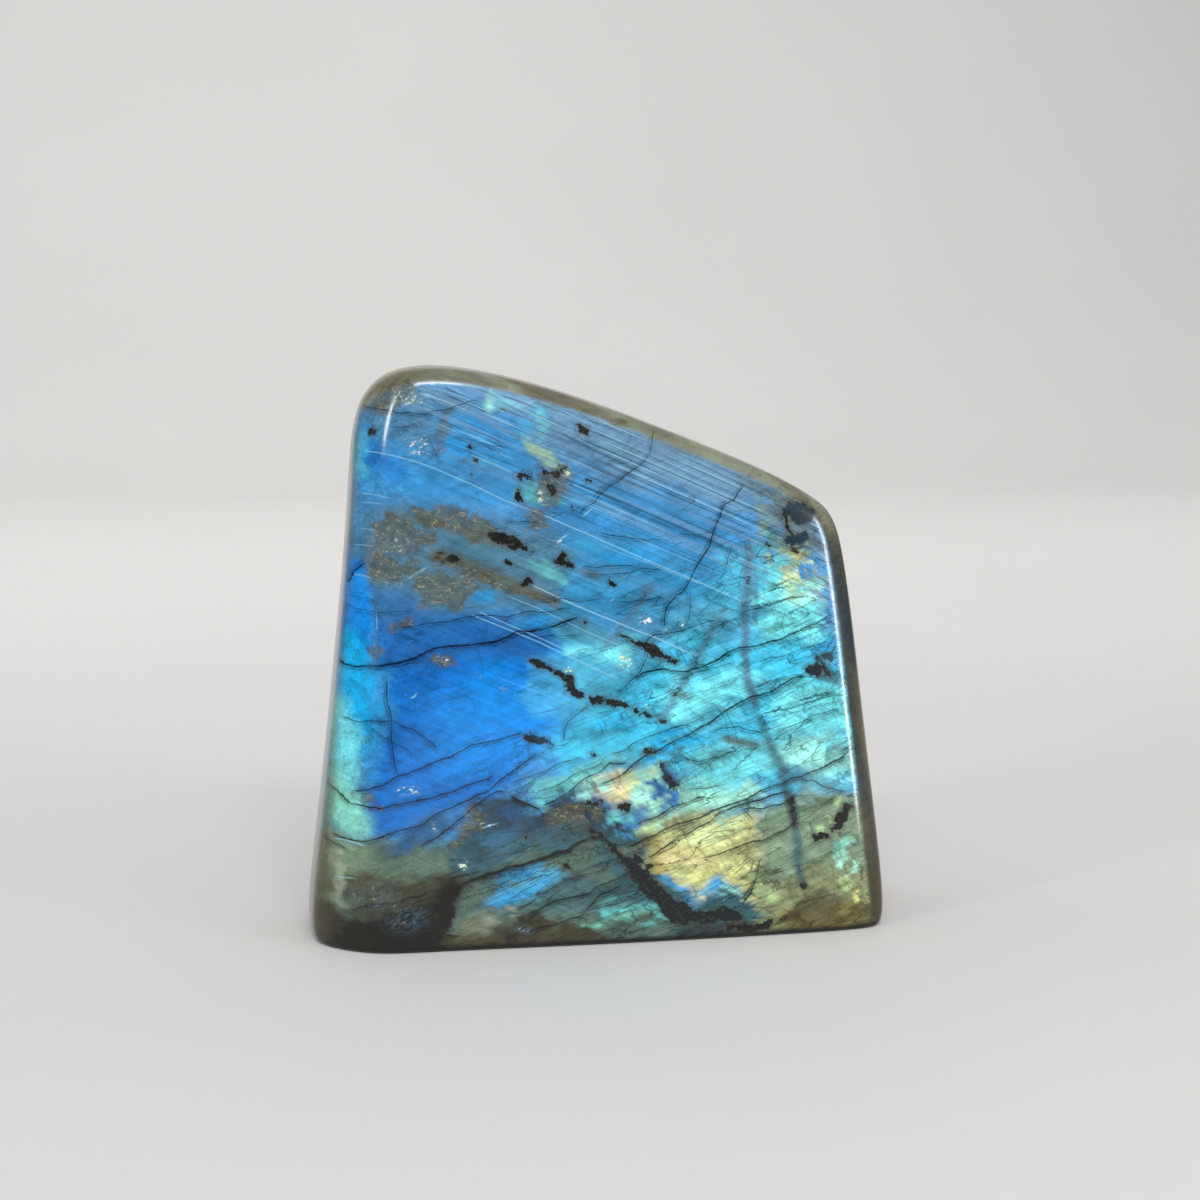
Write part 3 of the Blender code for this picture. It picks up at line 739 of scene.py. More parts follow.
def outline_distance(x, z, outline):
    """How far each point is from a closed outline: less than 0 inside it."""
    nearest = np.full(x.shape, np.inf)
    inside = np.zeros(x.shape, bool)
    for (ax, az), (bx, bz) in segments(outline + outline[:1]):
        dx, dz = bx - ax, bz - az
        share = np.clip(((x - ax) * dx + (z - az) * dz) / (dx * dx + dz * dz), 0.0, 1.0)
        nearest = np.minimum(nearest, np.hypot(x - ax - share * dx, z - az - share * dz))
        if dz:
            crosses = (az > z) != (bz > z)
            inside ^= crosses & (x < ax + (z - az) * dx / dz)
    return np.where(inside, -nearest, nearest)


def line_distance(x, z, line):
    """How far each point is from a line, more than 0 on its left and less on its right, and how far
    along the line its nearest place is."""
    nearest = np.full(x.shape, np.inf)
    side = np.ones(x.shape)
    along = np.zeros(x.shape)
    start = 0.0
    for (ax, az), (bx, bz) in segments(line):
        dx, dz = bx - ax, bz - az
        length = np.hypot(dx, dz)
        share = np.clip(((x - ax) * dx + (z - az) * dz) / length**2, 0.0, 1.0)
        distance = np.hypot(x - ax - share * dx, z - az - share * dz)
        closer = distance < nearest
        nearest = np.where(closer, distance, nearest)
        side = np.where(closer, np.where(dx * (z - az) - dz * (x - ax) >= 0.0, 1.0, -1.0), side)
        along = np.where(closer, start + share * length, along)
        start += length
    return nearest * side, along, start


def streak_distance(x, z, points):
    """How far each point is from a streak whose half width changes along it: less than 0 inside."""
    nearest = np.full(x.shape, np.inf)
    for (ax, az, aw), (bx, bz, bw) in segments(points):
        dx, dz = bx - ax, bz - az
        share = np.clip(((x - ax) * dx + (z - az) * dz) / (dx * dx + dz * dz), 0.0, 1.0)
        distance = np.hypot(x - ax - share * dx, z - az - share * dz) - (aw + share * (bw - aw))
        nearest = np.minimum(nearest, distance)
    return nearest


def spot_share(x, z, spot):
    """How much of a spot's colour each point gets: all of it in the middle, none outside."""
    _, middle_x, middle_z, length, width, slope, cover = spot
    turn = radians(slope)
    along = (x - middle_x) * np.cos(turn) + (z - middle_z) * np.sin(turn)
    across = (z - middle_z) * np.cos(turn) - (x - middle_x) * np.sin(turn)
    reach = np.hypot(along / length, across / width)
    return cover * smooth_step(reach, 1.25, 0.55)


def painted(x, z, zones, spots, colours):
    """The colour of each point of a face, painted zone by zone and spot by spot."""
    colour = np.zeros((x.size, 3))
    for name, softness, cover, outline in zones:
        share = cover * smooth_step(outline_distance(x, z, outline), softness / 2, -softness / 2)
        colour += (colours[name] - colour) * share[:, None]
    for spot in spots:
        colour += (colours[spot[0]] - colour) * spot_share(x, z, spot)[:, None]
    return colour


def lay_bands(x, z, colour, bands, colours):
    """Lays long soft bands over the colour."""
    for name, half_width, cover, line in bands:
        distance, along, length = line_distance(x, z, line)
        ends = smooth_step(np.minimum(along, length - along), -0.1, 2.0 * half_width)
        share = cover * ends * smooth_step(np.abs(distance), 1.5 * half_width, 0.2 * half_width)
        colour += (colours[name] - colour) * share[:, None]


def spread_points(line, gap=0.5):
    """Points along a line, the gap apart."""
    found = []
    for start, end in segments(line):
        start, end = np.array(start), np.array(end)
        steps = max(1, int(np.ceil(np.linalg.norm(end - start) / gap)))
        found.extend(start + (end - start) * step / steps for step in range(steps + 1))
    return np.array(found)


def lines_in_layers(lines):
    """Shares the lines out over layers, so that in one layer no two lines come close."""
    layers = []
    for line in lines:
        points = spread_points(line[1])
        for layer in layers:
            gaps = [np.linalg.norm(points[:, None] - other[None], axis=2).min() for _, other in layer]
            if min(gaps) > LINE_ROOM:
                layer.append((line, points))
                break
        else:
            layers.append([(line, points)])
    return [[line for line, _ in layer] for layer in layers]


def layer_fields(x, z, layer):
    """For one layer of lines: how far each point is from its line, with a sign, and the strength."""
    signed = np.full(x.shape, LINE_REACH)
    strength = np.zeros(x.shape)
    nearest = np.full(x.shape, np.inf)
    for strong, line in layer:
        distance, along, length = line_distance(x, z, line)
        closer = np.abs(distance) < nearest
        nearest = np.where(closer, np.abs(distance), nearest)
        signed = np.where(closer, np.clip(distance, -LINE_REACH, LINE_REACH), signed)
        fade = min(END_FADE, length / 3)
        ends = smooth_step(np.minimum(along, length - along), 0.0, fade)
        strength = np.where(closer, strong * ends, strength)
    return signed, strength * smooth_step(nearest, LINE_REACH, 0.8 * LINE_REACH)


def write_attribute(mesh, name, values):
    attribute = mesh.attributes.new(name, "FLOAT_COLOR", "POINT")
    attribute.data.foreach_set("color", np.ascontiguousarray(values, np.float32).ravel())


def mesh_places(mesh):
    """The places of a mesh's points, in millimetres, and their normals."""
    count = len(mesh.vertices)
    places = np.empty(count * 3)
    normals = np.empty(count * 3)
    mesh.vertices.foreach_get("co", places)
    mesh.vertex_normals.foreach_get("vector", normals)
    return places.reshape(-1, 3) / MM, normals.reshape(-1, 3)


def front_depth(places):
    """How far each point lies behind the front face, in millimetres."""
    heights = [level[0] for level in LEVELS]
    half_depths = [level[3] / 2 for level in LEVELS]
    return places[:, 1] + np.interp(places[:, 2], heights, half_depths)


def both_faces(front, back, back_share):
    """Layers of lines of the two faces in one: each fades out before the other starts."""
    on_back = back_share > 0.5
    blank = (np.full(back_share.shape, 9.0), np.zeros(back_share.shape))
    merged = []
    for number in range(max(len(front), len(back))):
        front_signed, front_strength = front[number] if number < len(front) else blank
        back_signed, back_strength = back[number] if number < len(back) else blank
        signed = np.where(on_back, back_signed, front_signed)
        strength = np.where(on_back, back_strength * smooth_step(back_share, 0.55, 0.8),
                            front_strength * smooth_step(back_share, 0.45, 0.2))
        merged.append((signed, strength))
    return merged


def write_layers(mesh, name, layers):
    """Writes the layers two to an attribute. Returns the names of the attributes."""
    names = []
    for first in range(0, len(layers), 2):
        fields = [field for layer in layers[first:first + 2] for field in layer]
        while len(fields) < 4:
            fields.append(np.zeros(fields[0].shape))
        names.append(f"{name}_{first // 2 + 1}")
        write_attribute(mesh, names[-1], np.stack(fields, axis=1))
    return names


def nearest_inclusion(x, z, inclusions):
    distance = np.full(x.shape, 9.0)
    blue = np.zeros(x.shape)
    for blueness, points in inclusions:
        found = streak_distance(x, z, points)
        blue = np.where(found < distance, blueness, blue)
        distance = np.minimum(distance, found)
    return distance, blue


def rim_colour_and_reflections(x, y, z, colours):
    """The dull body colour where the stone turns away, with streaks along the rim. Low down it turns brown,
    a painted reflection of a dark surface below, and high up pale grey, a painted reflection of pale
    surroundings.
    """
    streak = smooth_step(hills(y + 0.5 * x, 0.3 * (x + z), 3.0, 21), -0.7, 0.7)[:, None]
    low = smooth_step(z, 34.0, 8.0)[:, None]
    high = smooth_step(z, 74.0, 86.0)[:, None]
    middle = colours["slate"] * (1.0 - streak) + colours["brown_grey"] * streak
    # Low down: a painted reflection of a dark brown surface below.
    lower = colours["brown"] * (1.0 - streak) + colours["bark"] * streak
    # High up: a painted reflection of pale surroundings.
    upper = colours["rim"] * (1.0 - 0.5 * streak) + colours["pale_grey"] * 0.5 * streak
    colour = middle * (1.0 - low) + lower * low
    return colour * (1.0 - high) + upper * high


def cleavage_blocks(x, z, slope, length, width, seed):
    """Long irregular blocks, as cleavage makes them. Gives each point the two random numbers from -1 to 1
    of its block, and how far it is from the block's edge as a share of the block."""
    turn = radians(slope)
    along = (x * np.cos(turn) + z * np.sin(turn)) / length
    across = (z * np.cos(turn) - x * np.sin(turn)) / width
    column = np.floor(along).astype(int)
    row = np.floor(across).astype(int)
    table = np.random.default_rng(seed).uniform(0.0, 1.0, (NOISE_CELLS, NOISE_CELLS, 4))
    nearest = np.full(x.shape, np.inf)
    second = np.full(x.shape, np.inf)
    numbers = np.zeros((x.size, 2))
    for column_step in (-1, 0, 1):
        for row_step in (-1, 0, 1):
            cell = table[(column + column_step) % NOISE_CELLS, (row + row_step) % NOISE_CELLS]
            distance = np.hypot(column + column_step + cell[:, 0] - along, row + row_step + cell[:, 1] - across)
            closer = distance < nearest
            second = np.where(closer, nearest, np.minimum(second, distance))
            nearest = np.where(closer, distance, nearest)
            numbers = np.where(closer[:, None], cell[:, 2:], numbers)
    return 2.0 * numbers[:, 0] - 1.0, 2.0 * numbers[:, 1] - 1.0, second - nearest


def rim_share(x, z, normals, inside):
    """How much of the dull rim each point gets: the outermost strip on the right, the top and the left,
    and most of what lies deep behind the face."""
    left = np.interp(z, LEFT_STRIP_HEIGHTS, LEFT_STRIP_PLACES)
    right = np.interp(z, RIGHT_STRIP_HEIGHTS, RIGHT_STRIP_PLACES)
    return np.maximum.reduce((
        0.8 * smooth_step(left - x, -1.4, 1.6),
        smooth_step(x - right, -0.5, 0.7),
        smooth_step(normals[:, 2], 0.26, 0.42),
        0.75 * smooth_step(inside, 5.0, 15.0),
    ))


def paint_stone(mesh, colours):
    """Writes what is inside the stone into attributes of its mesh, with painted shade beside the cracks and
    along the foot and painted reflections on the rim. Returns the names of the attributes that hold cracks
    and growth lines."""
    places, normals = mesh_places(mesh)
    x, y, z = places.T
    depth = np.maximum(front_depth(places), 0.0)
    back_share = smooth_step(normals[:, 1], -0.05, 0.45)
    broken = 0.25 + 0.75 * smooth_step(x - 0.9 * z, -68.0, -26.0)
    first_shift, first_tone, first_edge = cleavage_blocks(x, z, 20.0, 9.0, 3.0, 31)
    second_shift, second_tone, second_edge = cleavage_blocks(x, z, -24.0, 5.0, 1.5, 32)
    third_shift, third_tone, _ = cleavage_blocks(x, z, 14.0, 3.2, 1.1, 33)
    bent_x = x + 1.3 * hills(x, z, 6.0, 1) + 0.6 * hills(x, z, 1.9, 2)
    bent_z = z + 1.3 * hills(x, z, 6.0, 3) + 0.6 * hills(x, z, 1.9, 4)
    block_x = bent_x + broken * (2.2 * first_shift + 1.0 * second_shift + 0.5 * third_shift)
    block_z = bent_z + broken * (1.4 * first_tone + 0.5 * second_tone)
    block_z += smooth_step(depth, 5.0, 10.0) * (0.4 * depth - 4.0 + 3.0 * hills(y, z, 6.0, 41))

    front = painted(block_x, block_z, FRONT_ZONES, FRONT_SPOTS, colours)
    lay_bands(x + 0.4 * hills(x, z, 3.0, 7), z, front, FRONT_BANDS, colours)
    back = painted(block_x, block_z, BACK_ZONES, BACK_SPOTS, colours)
    colour = front * (1.0 - back_share[:, None]) + back * back_share[:, None]
    cloud = 0.5 * hills(x, z, 7.0, 11) + 0.35 * hills(x, z, 2.6, 12) + 0.3 * hills(x, z, 1.1, 13)
    edges = np.maximum(smooth_step(first_edge, 0.14, 0.0), 0.6 * smooth_step(second_edge, 0.18, 0.0))
    tone = 0.95 + 0.26 * cloud + broken * (0.18 * first_tone + 0.15 * second_tone + 0.15 * third_tone
                                           - 0.2 * edges)

    lean = CRACK_LEAN * depth
    crack_x = x + 0.3 * hills(x, z, 2.6, 5)
    crack_z = z - lean + 0.35 * hills(x, z, 2.2, 6)
    front_cracks = [layer_fields(crack_x, crack_z, layer) for layer in lines_in_layers(FRONT_CRACKS)]
    back_cracks = [layer_fields(crack_x, z, layer) for layer in lines_in_layers(BACK_CRACKS)]
    cracks = both_faces(front_cracks, back_cracks, back_share)
    # Painted shade beside the cracks, more on one side of each, darkens the tone there.
    shade = np.zeros(x.shape)
    for signed, strength in cracks:
        beside = smooth_step(np.abs(signed), LINE_REACH, 0.0) * np.where(signed < 0.0, 0.55, 0.25)
        shade = np.maximum(shade, strength * beside)
    tone *= 1.0 - shade.clip(0.0, 0.7)

    # The dull rim gets its body colour, with painted reflections low and high.
    rim = rim_share(x, z, normals, depth * (1.0 - back_share))[:, None]
    colour = colour * tone[:, None] * (1.0 - rim) + rim_colour_and_reflections(x, y, z, colours) * rim
    # Painted shade along the foot, where the edge turns under: the lowest millimetre or two go black.
    foot = smooth_step(z, 1.8, 0.6)[:, None]
    colour = colour * (1.0 - foot) + colours["black"] * foot
    growth = [layer_fields(x, z + lean, layer) for layer in lines_in_layers(FRONT_LINES)]
    growth = both_faces(growth, [], back_share)

    rim_line = 111.0 - 0.456 * (x + 20.0)
    stripes = smooth_step(z - rim_line, -26.0, -6.0) * smooth_step(x, -46.0, -30.0) * (1.0 - rim[:, 0])
    stripes = np.clip(0.3 * smooth_step(x + z, 40.0, 80.0) + stripes, 0.05, 1.0)
    stripes *= smooth_step(z, 14.0, 40.0) * (1.0 - rim[:, 0])
    # The flash attribute holds the painted colour, with its painted shade and reflections.
    write_attribute(mesh, "flash", np.column_stack((colour, np.ones(x.shape))))
    write_attribute(mesh, "habit", np.column_stack((
        broken,
        stripes * (1.0 - back_share),
        rim[:, 0],
        back_share,
    )))

    behind = np.maximum(depth - 5.0, 0.0)
    dark, blue = nearest_inclusion(x, z, FRONT_INCLUSIONS)
    dark_back, blue_back = nearest_inclusion(x, z, BACK_INCLUSIONS)
    on_back = back_share > 0.5
    veined = np.min([outline_distance(bent_x, bent_z, outline) for outline in FRONT_VEINED], axis=0)
    # How dense the sparkle is: patches of painted glints, flecks that stand in for light caught by cleavage
    # flakes.
    sparkle = np.zeros(x.shape)
    for middle_x, middle_z, half_x, half_z, density in FRONT_SPARKLE:
        reach = np.hypot((x - middle_x) / half_x, (z - middle_z) / half_z)
        sparkle = np.maximum(sparkle, density * smooth_step(reach, 1.4, 0.3))
    write_attribute(mesh, "marks", np.column_stack((
        np.where(on_back, dark_back, dark + behind).clip(-3.0, 3.0),
        np.where(on_back, blue_back, blue),
        np.where(on_back, 3.0, veined + behind).clip(-3.0, 3.0),
        sparkle * smooth_step(depth, 9.0, 4.0),
    )))
    return write_layers(mesh, "cracks", cracks), write_layers(mesh, "growth", growth)


def edit_mode():
    bpy.ops.object.mode_set(mode="EDIT")


def object_mode():
    bpy.ops.object.mode_set(mode="OBJECT")


def fresh_selection():
    if bpy.context.object and bpy.context.object.mode != "OBJECT":
        object_mode()
    bpy.ops.object.select_all(action="DESELECT")


def apply_modifier(piece, name):
    bpy.context.view_layer.objects.active = piece
    bpy.ops.object.modifier_apply(modifier=name)


def select_where(piece, test):
    """Selects the mesh's points that pass the test. Edit mode comes back in point mode."""
    object_mode()
    for part in (piece.data.polygons, piece.data.edges, piece.data.vertices):
        part.foreach_set("select", np.zeros(len(part), bool))
    for vertex in piece.data.vertices:
        vertex.select = bool(test(vertex.co))
    edit_mode()
    bpy.ops.mesh.select_mode(type="VERT")


def name_loops(piece, kind, axis, places):
    """Keeps the points at each place along an axis as a vertex group, so that they can be moved later."""
    object_mode()
    for number, place in enumerate(places):
        group = piece.vertex_groups.new(name=f"{kind}_{number}")
        found = [vertex.index for vertex in piece.data.vertices
                 if abs(vertex.co[axis] - place) < SAME_PLACE]
        group.add(found, 1.0, "REPLACE")
    edit_mode()


def select_loops(piece, *names):
    """Selects the points that are in all the named groups."""
    object_mode()
    numbers = {piece.vertex_groups[name].index for name in names}
    for part in (piece.data.polygons, piece.data.edges):
        part.foreach_set("select", np.zeros(len(part), bool))
    for vertex in piece.data.vertices:
        vertex.select = numbers <= {member.group for member in vertex.groups}
    edit_mode()
    bpy.ops.mesh.select_mode(type="VERT")


def resize(x=1.0, y=1.0, z=1.0):
    bpy.ops.transform.resize(value=(x, y, z), center_override=(0.0, 0.0, 0.0))


def cut_block(sizes):
    """A block of the stone's largest size, standing on the stage and cut where its loops will be."""
    bpy.ops.mesh.primitive_cube_add(size=1.0, location=(0.0, 0.0, sizes.height / 2),
                                    scale=(sizes.width, sizes.depth, sizes.height))
    bpy.ops.object.transform_apply(location=True, rotation=True, scale=True)
    block = bpy.context.object
    places = {
        "column": (0, [(share - 0.5) * sizes.width for share, _, _ in COLUMNS]),
        "layer": (1, [share * sizes.depth for share, _ in LAYERS]),
        "level": (2, [z / BLOCK_HEIGHT * sizes.height for z, _, _, _ in LEVELS]),
    }
    edit_mode()
    for axis, cuts in places.values():
        for cut in cuts[1:-1]:
            point, normal = Vector(), Vector()
            point[axis] = cut
            normal[axis] = 1.0
            bpy.ops.mesh.select_all(action="SELECT")
            bpy.ops.mesh.bisect(plane_co=point, plane_no=normal, threshold=SAME_PLACE)
    for kind, (axis, cuts) in places.items():
        name_loops(block, kind, axis, cuts)
    return block


def shape_block(block, sizes):
    """Moves the loops of the block to the stone's taper, slope and roundings."""
    full_width = sizes.width / MM
    wide = full_width / DEFAULT_WIDTH
    for number, (_, reach) in enumerate(LAYERS):
        select_loops(block, f"layer_{number}")
        resize(x=reach, z=reach)
    for number, (_, left, right, depth) in enumerate(LEVELS):
        select_loops(block, f"level_{number}")
        resize(x=(right - left) / DEFAULT_WIDTH, y=depth / LEVELS[0][3])
        bpy.ops.transform.translate(value=((left + right) / 2 * MM * wide, 0.0, 0.0))
    for number, (_, height, depth_share) in enumerate(COLUMNS):
        select_loops(block, f"column_{number}")
        resize(y=depth_share, z=height / BLOCK_HEIGHT)
    for column, pull in ((0, TOP_LEFT_PULL), (len(COLUMNS) - 1, TOP_RIGHT_PULL)):
        select_loops(block, f"column_{column}", f"level_{len(LEVELS) - 1}")
        bpy.ops.transform.translate(value=pull)
    bpy.ops.mesh.select_all(action="SELECT")
    bpy.ops.mesh.normals_make_consistent(inside=False)


def crease_foot(block):
    """The ground foot keeps a crisp edge round its rim."""
    select_where(block, lambda place: place.z < SAME_PLACE)
    bpy.ops.mesh.select_mode(type="FACE")
    bpy.ops.mesh.region_to_loop()
    bpy.ops.transform.edge_crease(value=FOOT_EDGE_CREASE)
    object_mode()


def smooth_block(block):
    smoothing = block.modifiers.new("polish", "SUBSURF")
    smoothing.levels = SMOOTHING_LEVELS
    smoothing.render_levels = SMOOTHING_LEVELS
    apply_modifier(block, "polish")


def refine_front(stone, surface):
    """Gives the front face a finer mesh for what it shows, laid on a finer copy of the surface."""
    fresh_selection()
    stone.select_set(True)
    bpy.context.view_layer.objects.active = stone
    for part in (stone.data.edges, stone.data.vertices):
        part.foreach_set("select", np.zeros(len(part), bool))
    for polygon in stone.data.polygons:
        polygon.select = polygon.normal.y < FRONT_FACING
    edit_mode()
    bpy.ops.mesh.select_mode(type="FACE")
    bpy.ops.mesh.subdivide(number_cuts=1)
    object_mode()
    lay_on = stone.modifiers.new("lay_on", "SHRINKWRAP")
    lay_on.target = surface
    lay_on.wrap_method = "NEAREST_SURFACEPOINT"
    apply_modifier(stone, "lay_on")
    bpy.data.objects.remove(surface, do_unlink=True)


def fine_copy(cage):
    """A copy of the cage, one level smoother than the stone."""
    surface = cage.copy()
    surface.data = cage.data.copy()
    bpy.context.collection.objects.link(surface)
    smoothing = surface.modifiers.new("polish", "SUBSURF")
    smoothing.levels = SMOOTHING_LEVELS + 1
    smoothing.render_levels = SMOOTHING_LEVELS + 1
    apply_modifier(surface, "polish")
    return surface


class Recipe:
    """Adds nodes to a material and links them, each to the right of the last."""

    def __init__(self, material, colours=None):
        material.use_nodes = True
        self.tree = material.node_tree
        self.tree.nodes.clear()
        self.colours = colours or {}
        self.across = 0

    def add(self, kind, sockets=None, **settings):
        node = self.tree.nodes.new(kind)
        node.location = (self.across, 0)
        self.across += 170
        for name, value in settings.items():
            setattr(node, name, value)
        for name, value in (sockets or {}).items():
            self.feed(node.inputs[name], value)
        return node

    def feed(self, socket, value):
        if isinstance(value, bpy.types.NodeSocket):
            self.tree.links.new(value, socket)
        else:
            socket.default_value = value

    def maths(self, operation, *values):
        return self.add("ShaderNodeMath", dict(enumerate(values)), operation=operation).outputs[0]

    def times(self, *values):
        product = values[0]
        for value in values[1:]:
            product = self.maths("MULTIPLY", product, value)
        return product

    def step(self, value, start, end):
        """Smoothly from 0 at the start to 1 at the end."""
        sockets = {"Value": value, "From Min": start, "From Max": end}
        return self.add("ShaderNodeMapRange", sockets, interpolation_type="SMOOTHSTEP").outputs[0]

    def mix(self, share, below, above):
        node = self.add("ShaderNodeMix", {0: share, 6: below, 7: above}, data_type="RGBA")
        return node.outputs[2]

    def named(self, name):
        return (*(float(part) for part in self.colours[name]), 1.0)

    def tint(self, share, below, name):
        return self.mix(share, below, self.named(name))

    def scaled(self, colour, scale):
        return self.add("ShaderNodeVectorMath", {0: colour, "Scale": scale}, operation="SCALE").outputs[0]

    def darker(self, share, colour):
        """The same colour with hardly any light left in it, as in a crack."""
        return self.scaled(colour, self.maths("MULTIPLY_ADD", share, -0.92, 1.0))

    def place(self):
        """The place in the stone, in millimetres."""
        return self.scaled(self.add("ShaderNodeTexCoord").outputs["Object"], 1.0 / MM)

    def stretched(self, place, slope, length, width):
        """Coordinates for a pattern of that length and width in millimetres, falling by the slope."""
        sockets = {"Vector": place, "Rotation": (0.0, radians(slope), 0.0), "Scale": (length, width, width)}
        return self.add("ShaderNodeMapping", sockets, vector_type="TEXTURE").outputs[0]

    def noise(self, vector, scale, detail=2.0, roughness=0.5):
        sockets = {"Vector": vector, "Scale": scale, "Detail": detail, "Roughness": roughness}
        return self.add("ShaderNodeTexNoise", sockets).outputs["Fac"]

    def threads(self, vector, width, detail=3.0):
        """Fine winding threads, where a noise passes through its middle value."""
        middle = self.maths("ABSOLUTE", self.maths("SUBTRACT", self.noise(vector, 1.0, detail, 0.55), 0.5))
        return self.step(middle, width, 0.15 * width)

    def attribute(self, name):
        node = self.add("ShaderNodeAttribute", attribute_name=name)
        parts = self.add("ShaderNodeSeparateColor", {0: node.outputs["Color"]})
        return (*parts.outputs[:3], node.outputs["Alpha"])


def line_share(recipe, signed, strength, wiggle, beside):
    """How much of a line shows: full in its middle, none outside. A stronger line is wider, and a thin
    companion runs beside it in places."""
    distance = recipe.maths("ABSOLUTE", recipe.maths("ADD", signed, wiggle))
    width = recipe.maths("MULTIPLY_ADD", recipe.maths("POWER", strength, 2.0), 0.15, 0.055)
    sharp = recipe.step(recipe.maths("DIVIDE", distance, width), 1.6, 0.3)
    share = recipe.times(sharp, recipe.maths("MINIMUM", recipe.maths("MULTIPLY", strength, 1.4), 1.0))
    if beside is None:
        return share
    gap = recipe.maths("ABSOLUTE", recipe.maths("ADD", recipe.maths("MULTIPLY_ADD", wiggle, 2.2, 0.5), signed))
    second = recipe.times(recipe.step(gap, 0.11, 0.02), beside, strength, 0.9)
    return recipe.maths("MAXIMUM", share, second)


def lines_share(recipe, names, wiggle, beside=None):
    """The strongest of all the lines in the named attributes."""
    share = 0.0
    for name in names:
        first_signed, first_strength, second_signed, second_strength = recipe.attribute(name)
        for signed, strength in ((first_signed, first_strength), (second_signed, second_strength)):
            found = line_share(recipe, signed, strength, wiggle, beside)
            share = recipe.maths("MAXIMUM", share, found)
    return share


def crack_net(recipe, place, ragged, broken):
    """Fine cleavage cracks: long smooth hairlines at two slopes, a branching net, and short cross cracks."""
    bend = recipe.maths("MULTIPLY", ragged, 0.8)
    bent = recipe.add("ShaderNodeVectorMath", {0: place, 1: bend}, operation="ADD").outputs[0]
    net = recipe.add("ShaderNodeTexVoronoi",
                     {"Vector": recipe.stretched(bent, CLEAVAGE_SLOPE, 15.0, 2.6), "Scale": 1.0},
                     feature="DISTANCE_TO_EDGE").outputs["Distance"]
    wide_mask = recipe.step(recipe.noise(place, 0.09, 2.0), 0.42, 0.58)
    found = recipe.times(recipe.step(net, 0.03, 0.003), wide_mask, broken, 0.7)
    for slope, length, width, thickness, rarity, strength in HAIRLINES:
        hairs = recipe.threads(recipe.stretched(bent, slope, length, width), thickness, 1.0)
        where = recipe.step(recipe.noise(place, rarity, 1.0), 0.4, 0.56)
        found = recipe.maths("MAXIMUM", found, recipe.times(hairs, where, strength))
    return recipe.times(found, recipe.maths("MULTIPLY_ADD", broken, 0.75, 0.25))


def add_fibre(recipe, place, colour, broken, stripes):
    """Fibre, blocks and stripes along the growth direction, fibre along the cleavage, and a fine grain."""
    growth_fibre = recipe.noise(recipe.stretched(place, GROWTH_SLOPE, 16.0, 0.7), 1.0, 3.0, 0.6)
    cleavage_fibre = recipe.noise(recipe.stretched(place, CLEAVAGE_SLOPE, 9.0, 0.5), 1.0, 3.0, 0.65)
    fibre = recipe.add("ShaderNodeMix", {0: broken, 2: growth_fibre, 3: cleavage_fibre}).outputs[0]
    blocks = recipe.add("ShaderNodeTexVoronoi",
                        {"Vector": recipe.stretched(place, CLEAVAGE_SLOPE, 6.0, 1.6), "Scale": 1.0})
    block_tone = recipe.add("ShaderNodeSeparateColor", {0: blocks.outputs["Color"]}).outputs[0]
    grain = recipe.noise(place, 3.2, 2.0, 0.7)
    tone = recipe.maths("MULTIPLY_ADD", fibre, 1.1, 0.45)
    tone = recipe.maths("MULTIPLY_ADD", block_tone, 0.24, recipe.maths("SUBTRACT", tone, 0.12))
    tone = recipe.maths("MULTIPLY_ADD", grain, 0.5, recipe.maths("SUBTRACT", tone, 0.25))
    colour = recipe.scaled(colour, tone)
    bands = recipe.step(recipe.noise(recipe.stretched(place, GROWTH_SLOPE, 60.0, 1.3), 1.0, 1.0), 0.46, 0.6)
    colour = recipe.tint(recipe.times(bands, stripes, 0.55), colour, "haze")
    dark = recipe.step(recipe.noise(recipe.stretched(place, GROWTH_SLOPE, 50.0, 0.45), 1.0, 2.0), 0.54, 0.66)
    colour = recipe.tint(recipe.times(dark, stripes, 0.6), colour, "dusk")
    pale = recipe.step(recipe.noise(recipe.stretched(place, GROWTH_SLOPE, 70.0, 0.5), 1.0, 1.0), 0.62, 0.7)
    return recipe.tint(recipe.times(pale, stripes, 0.5), colour, "pale_line"), fibre, grain


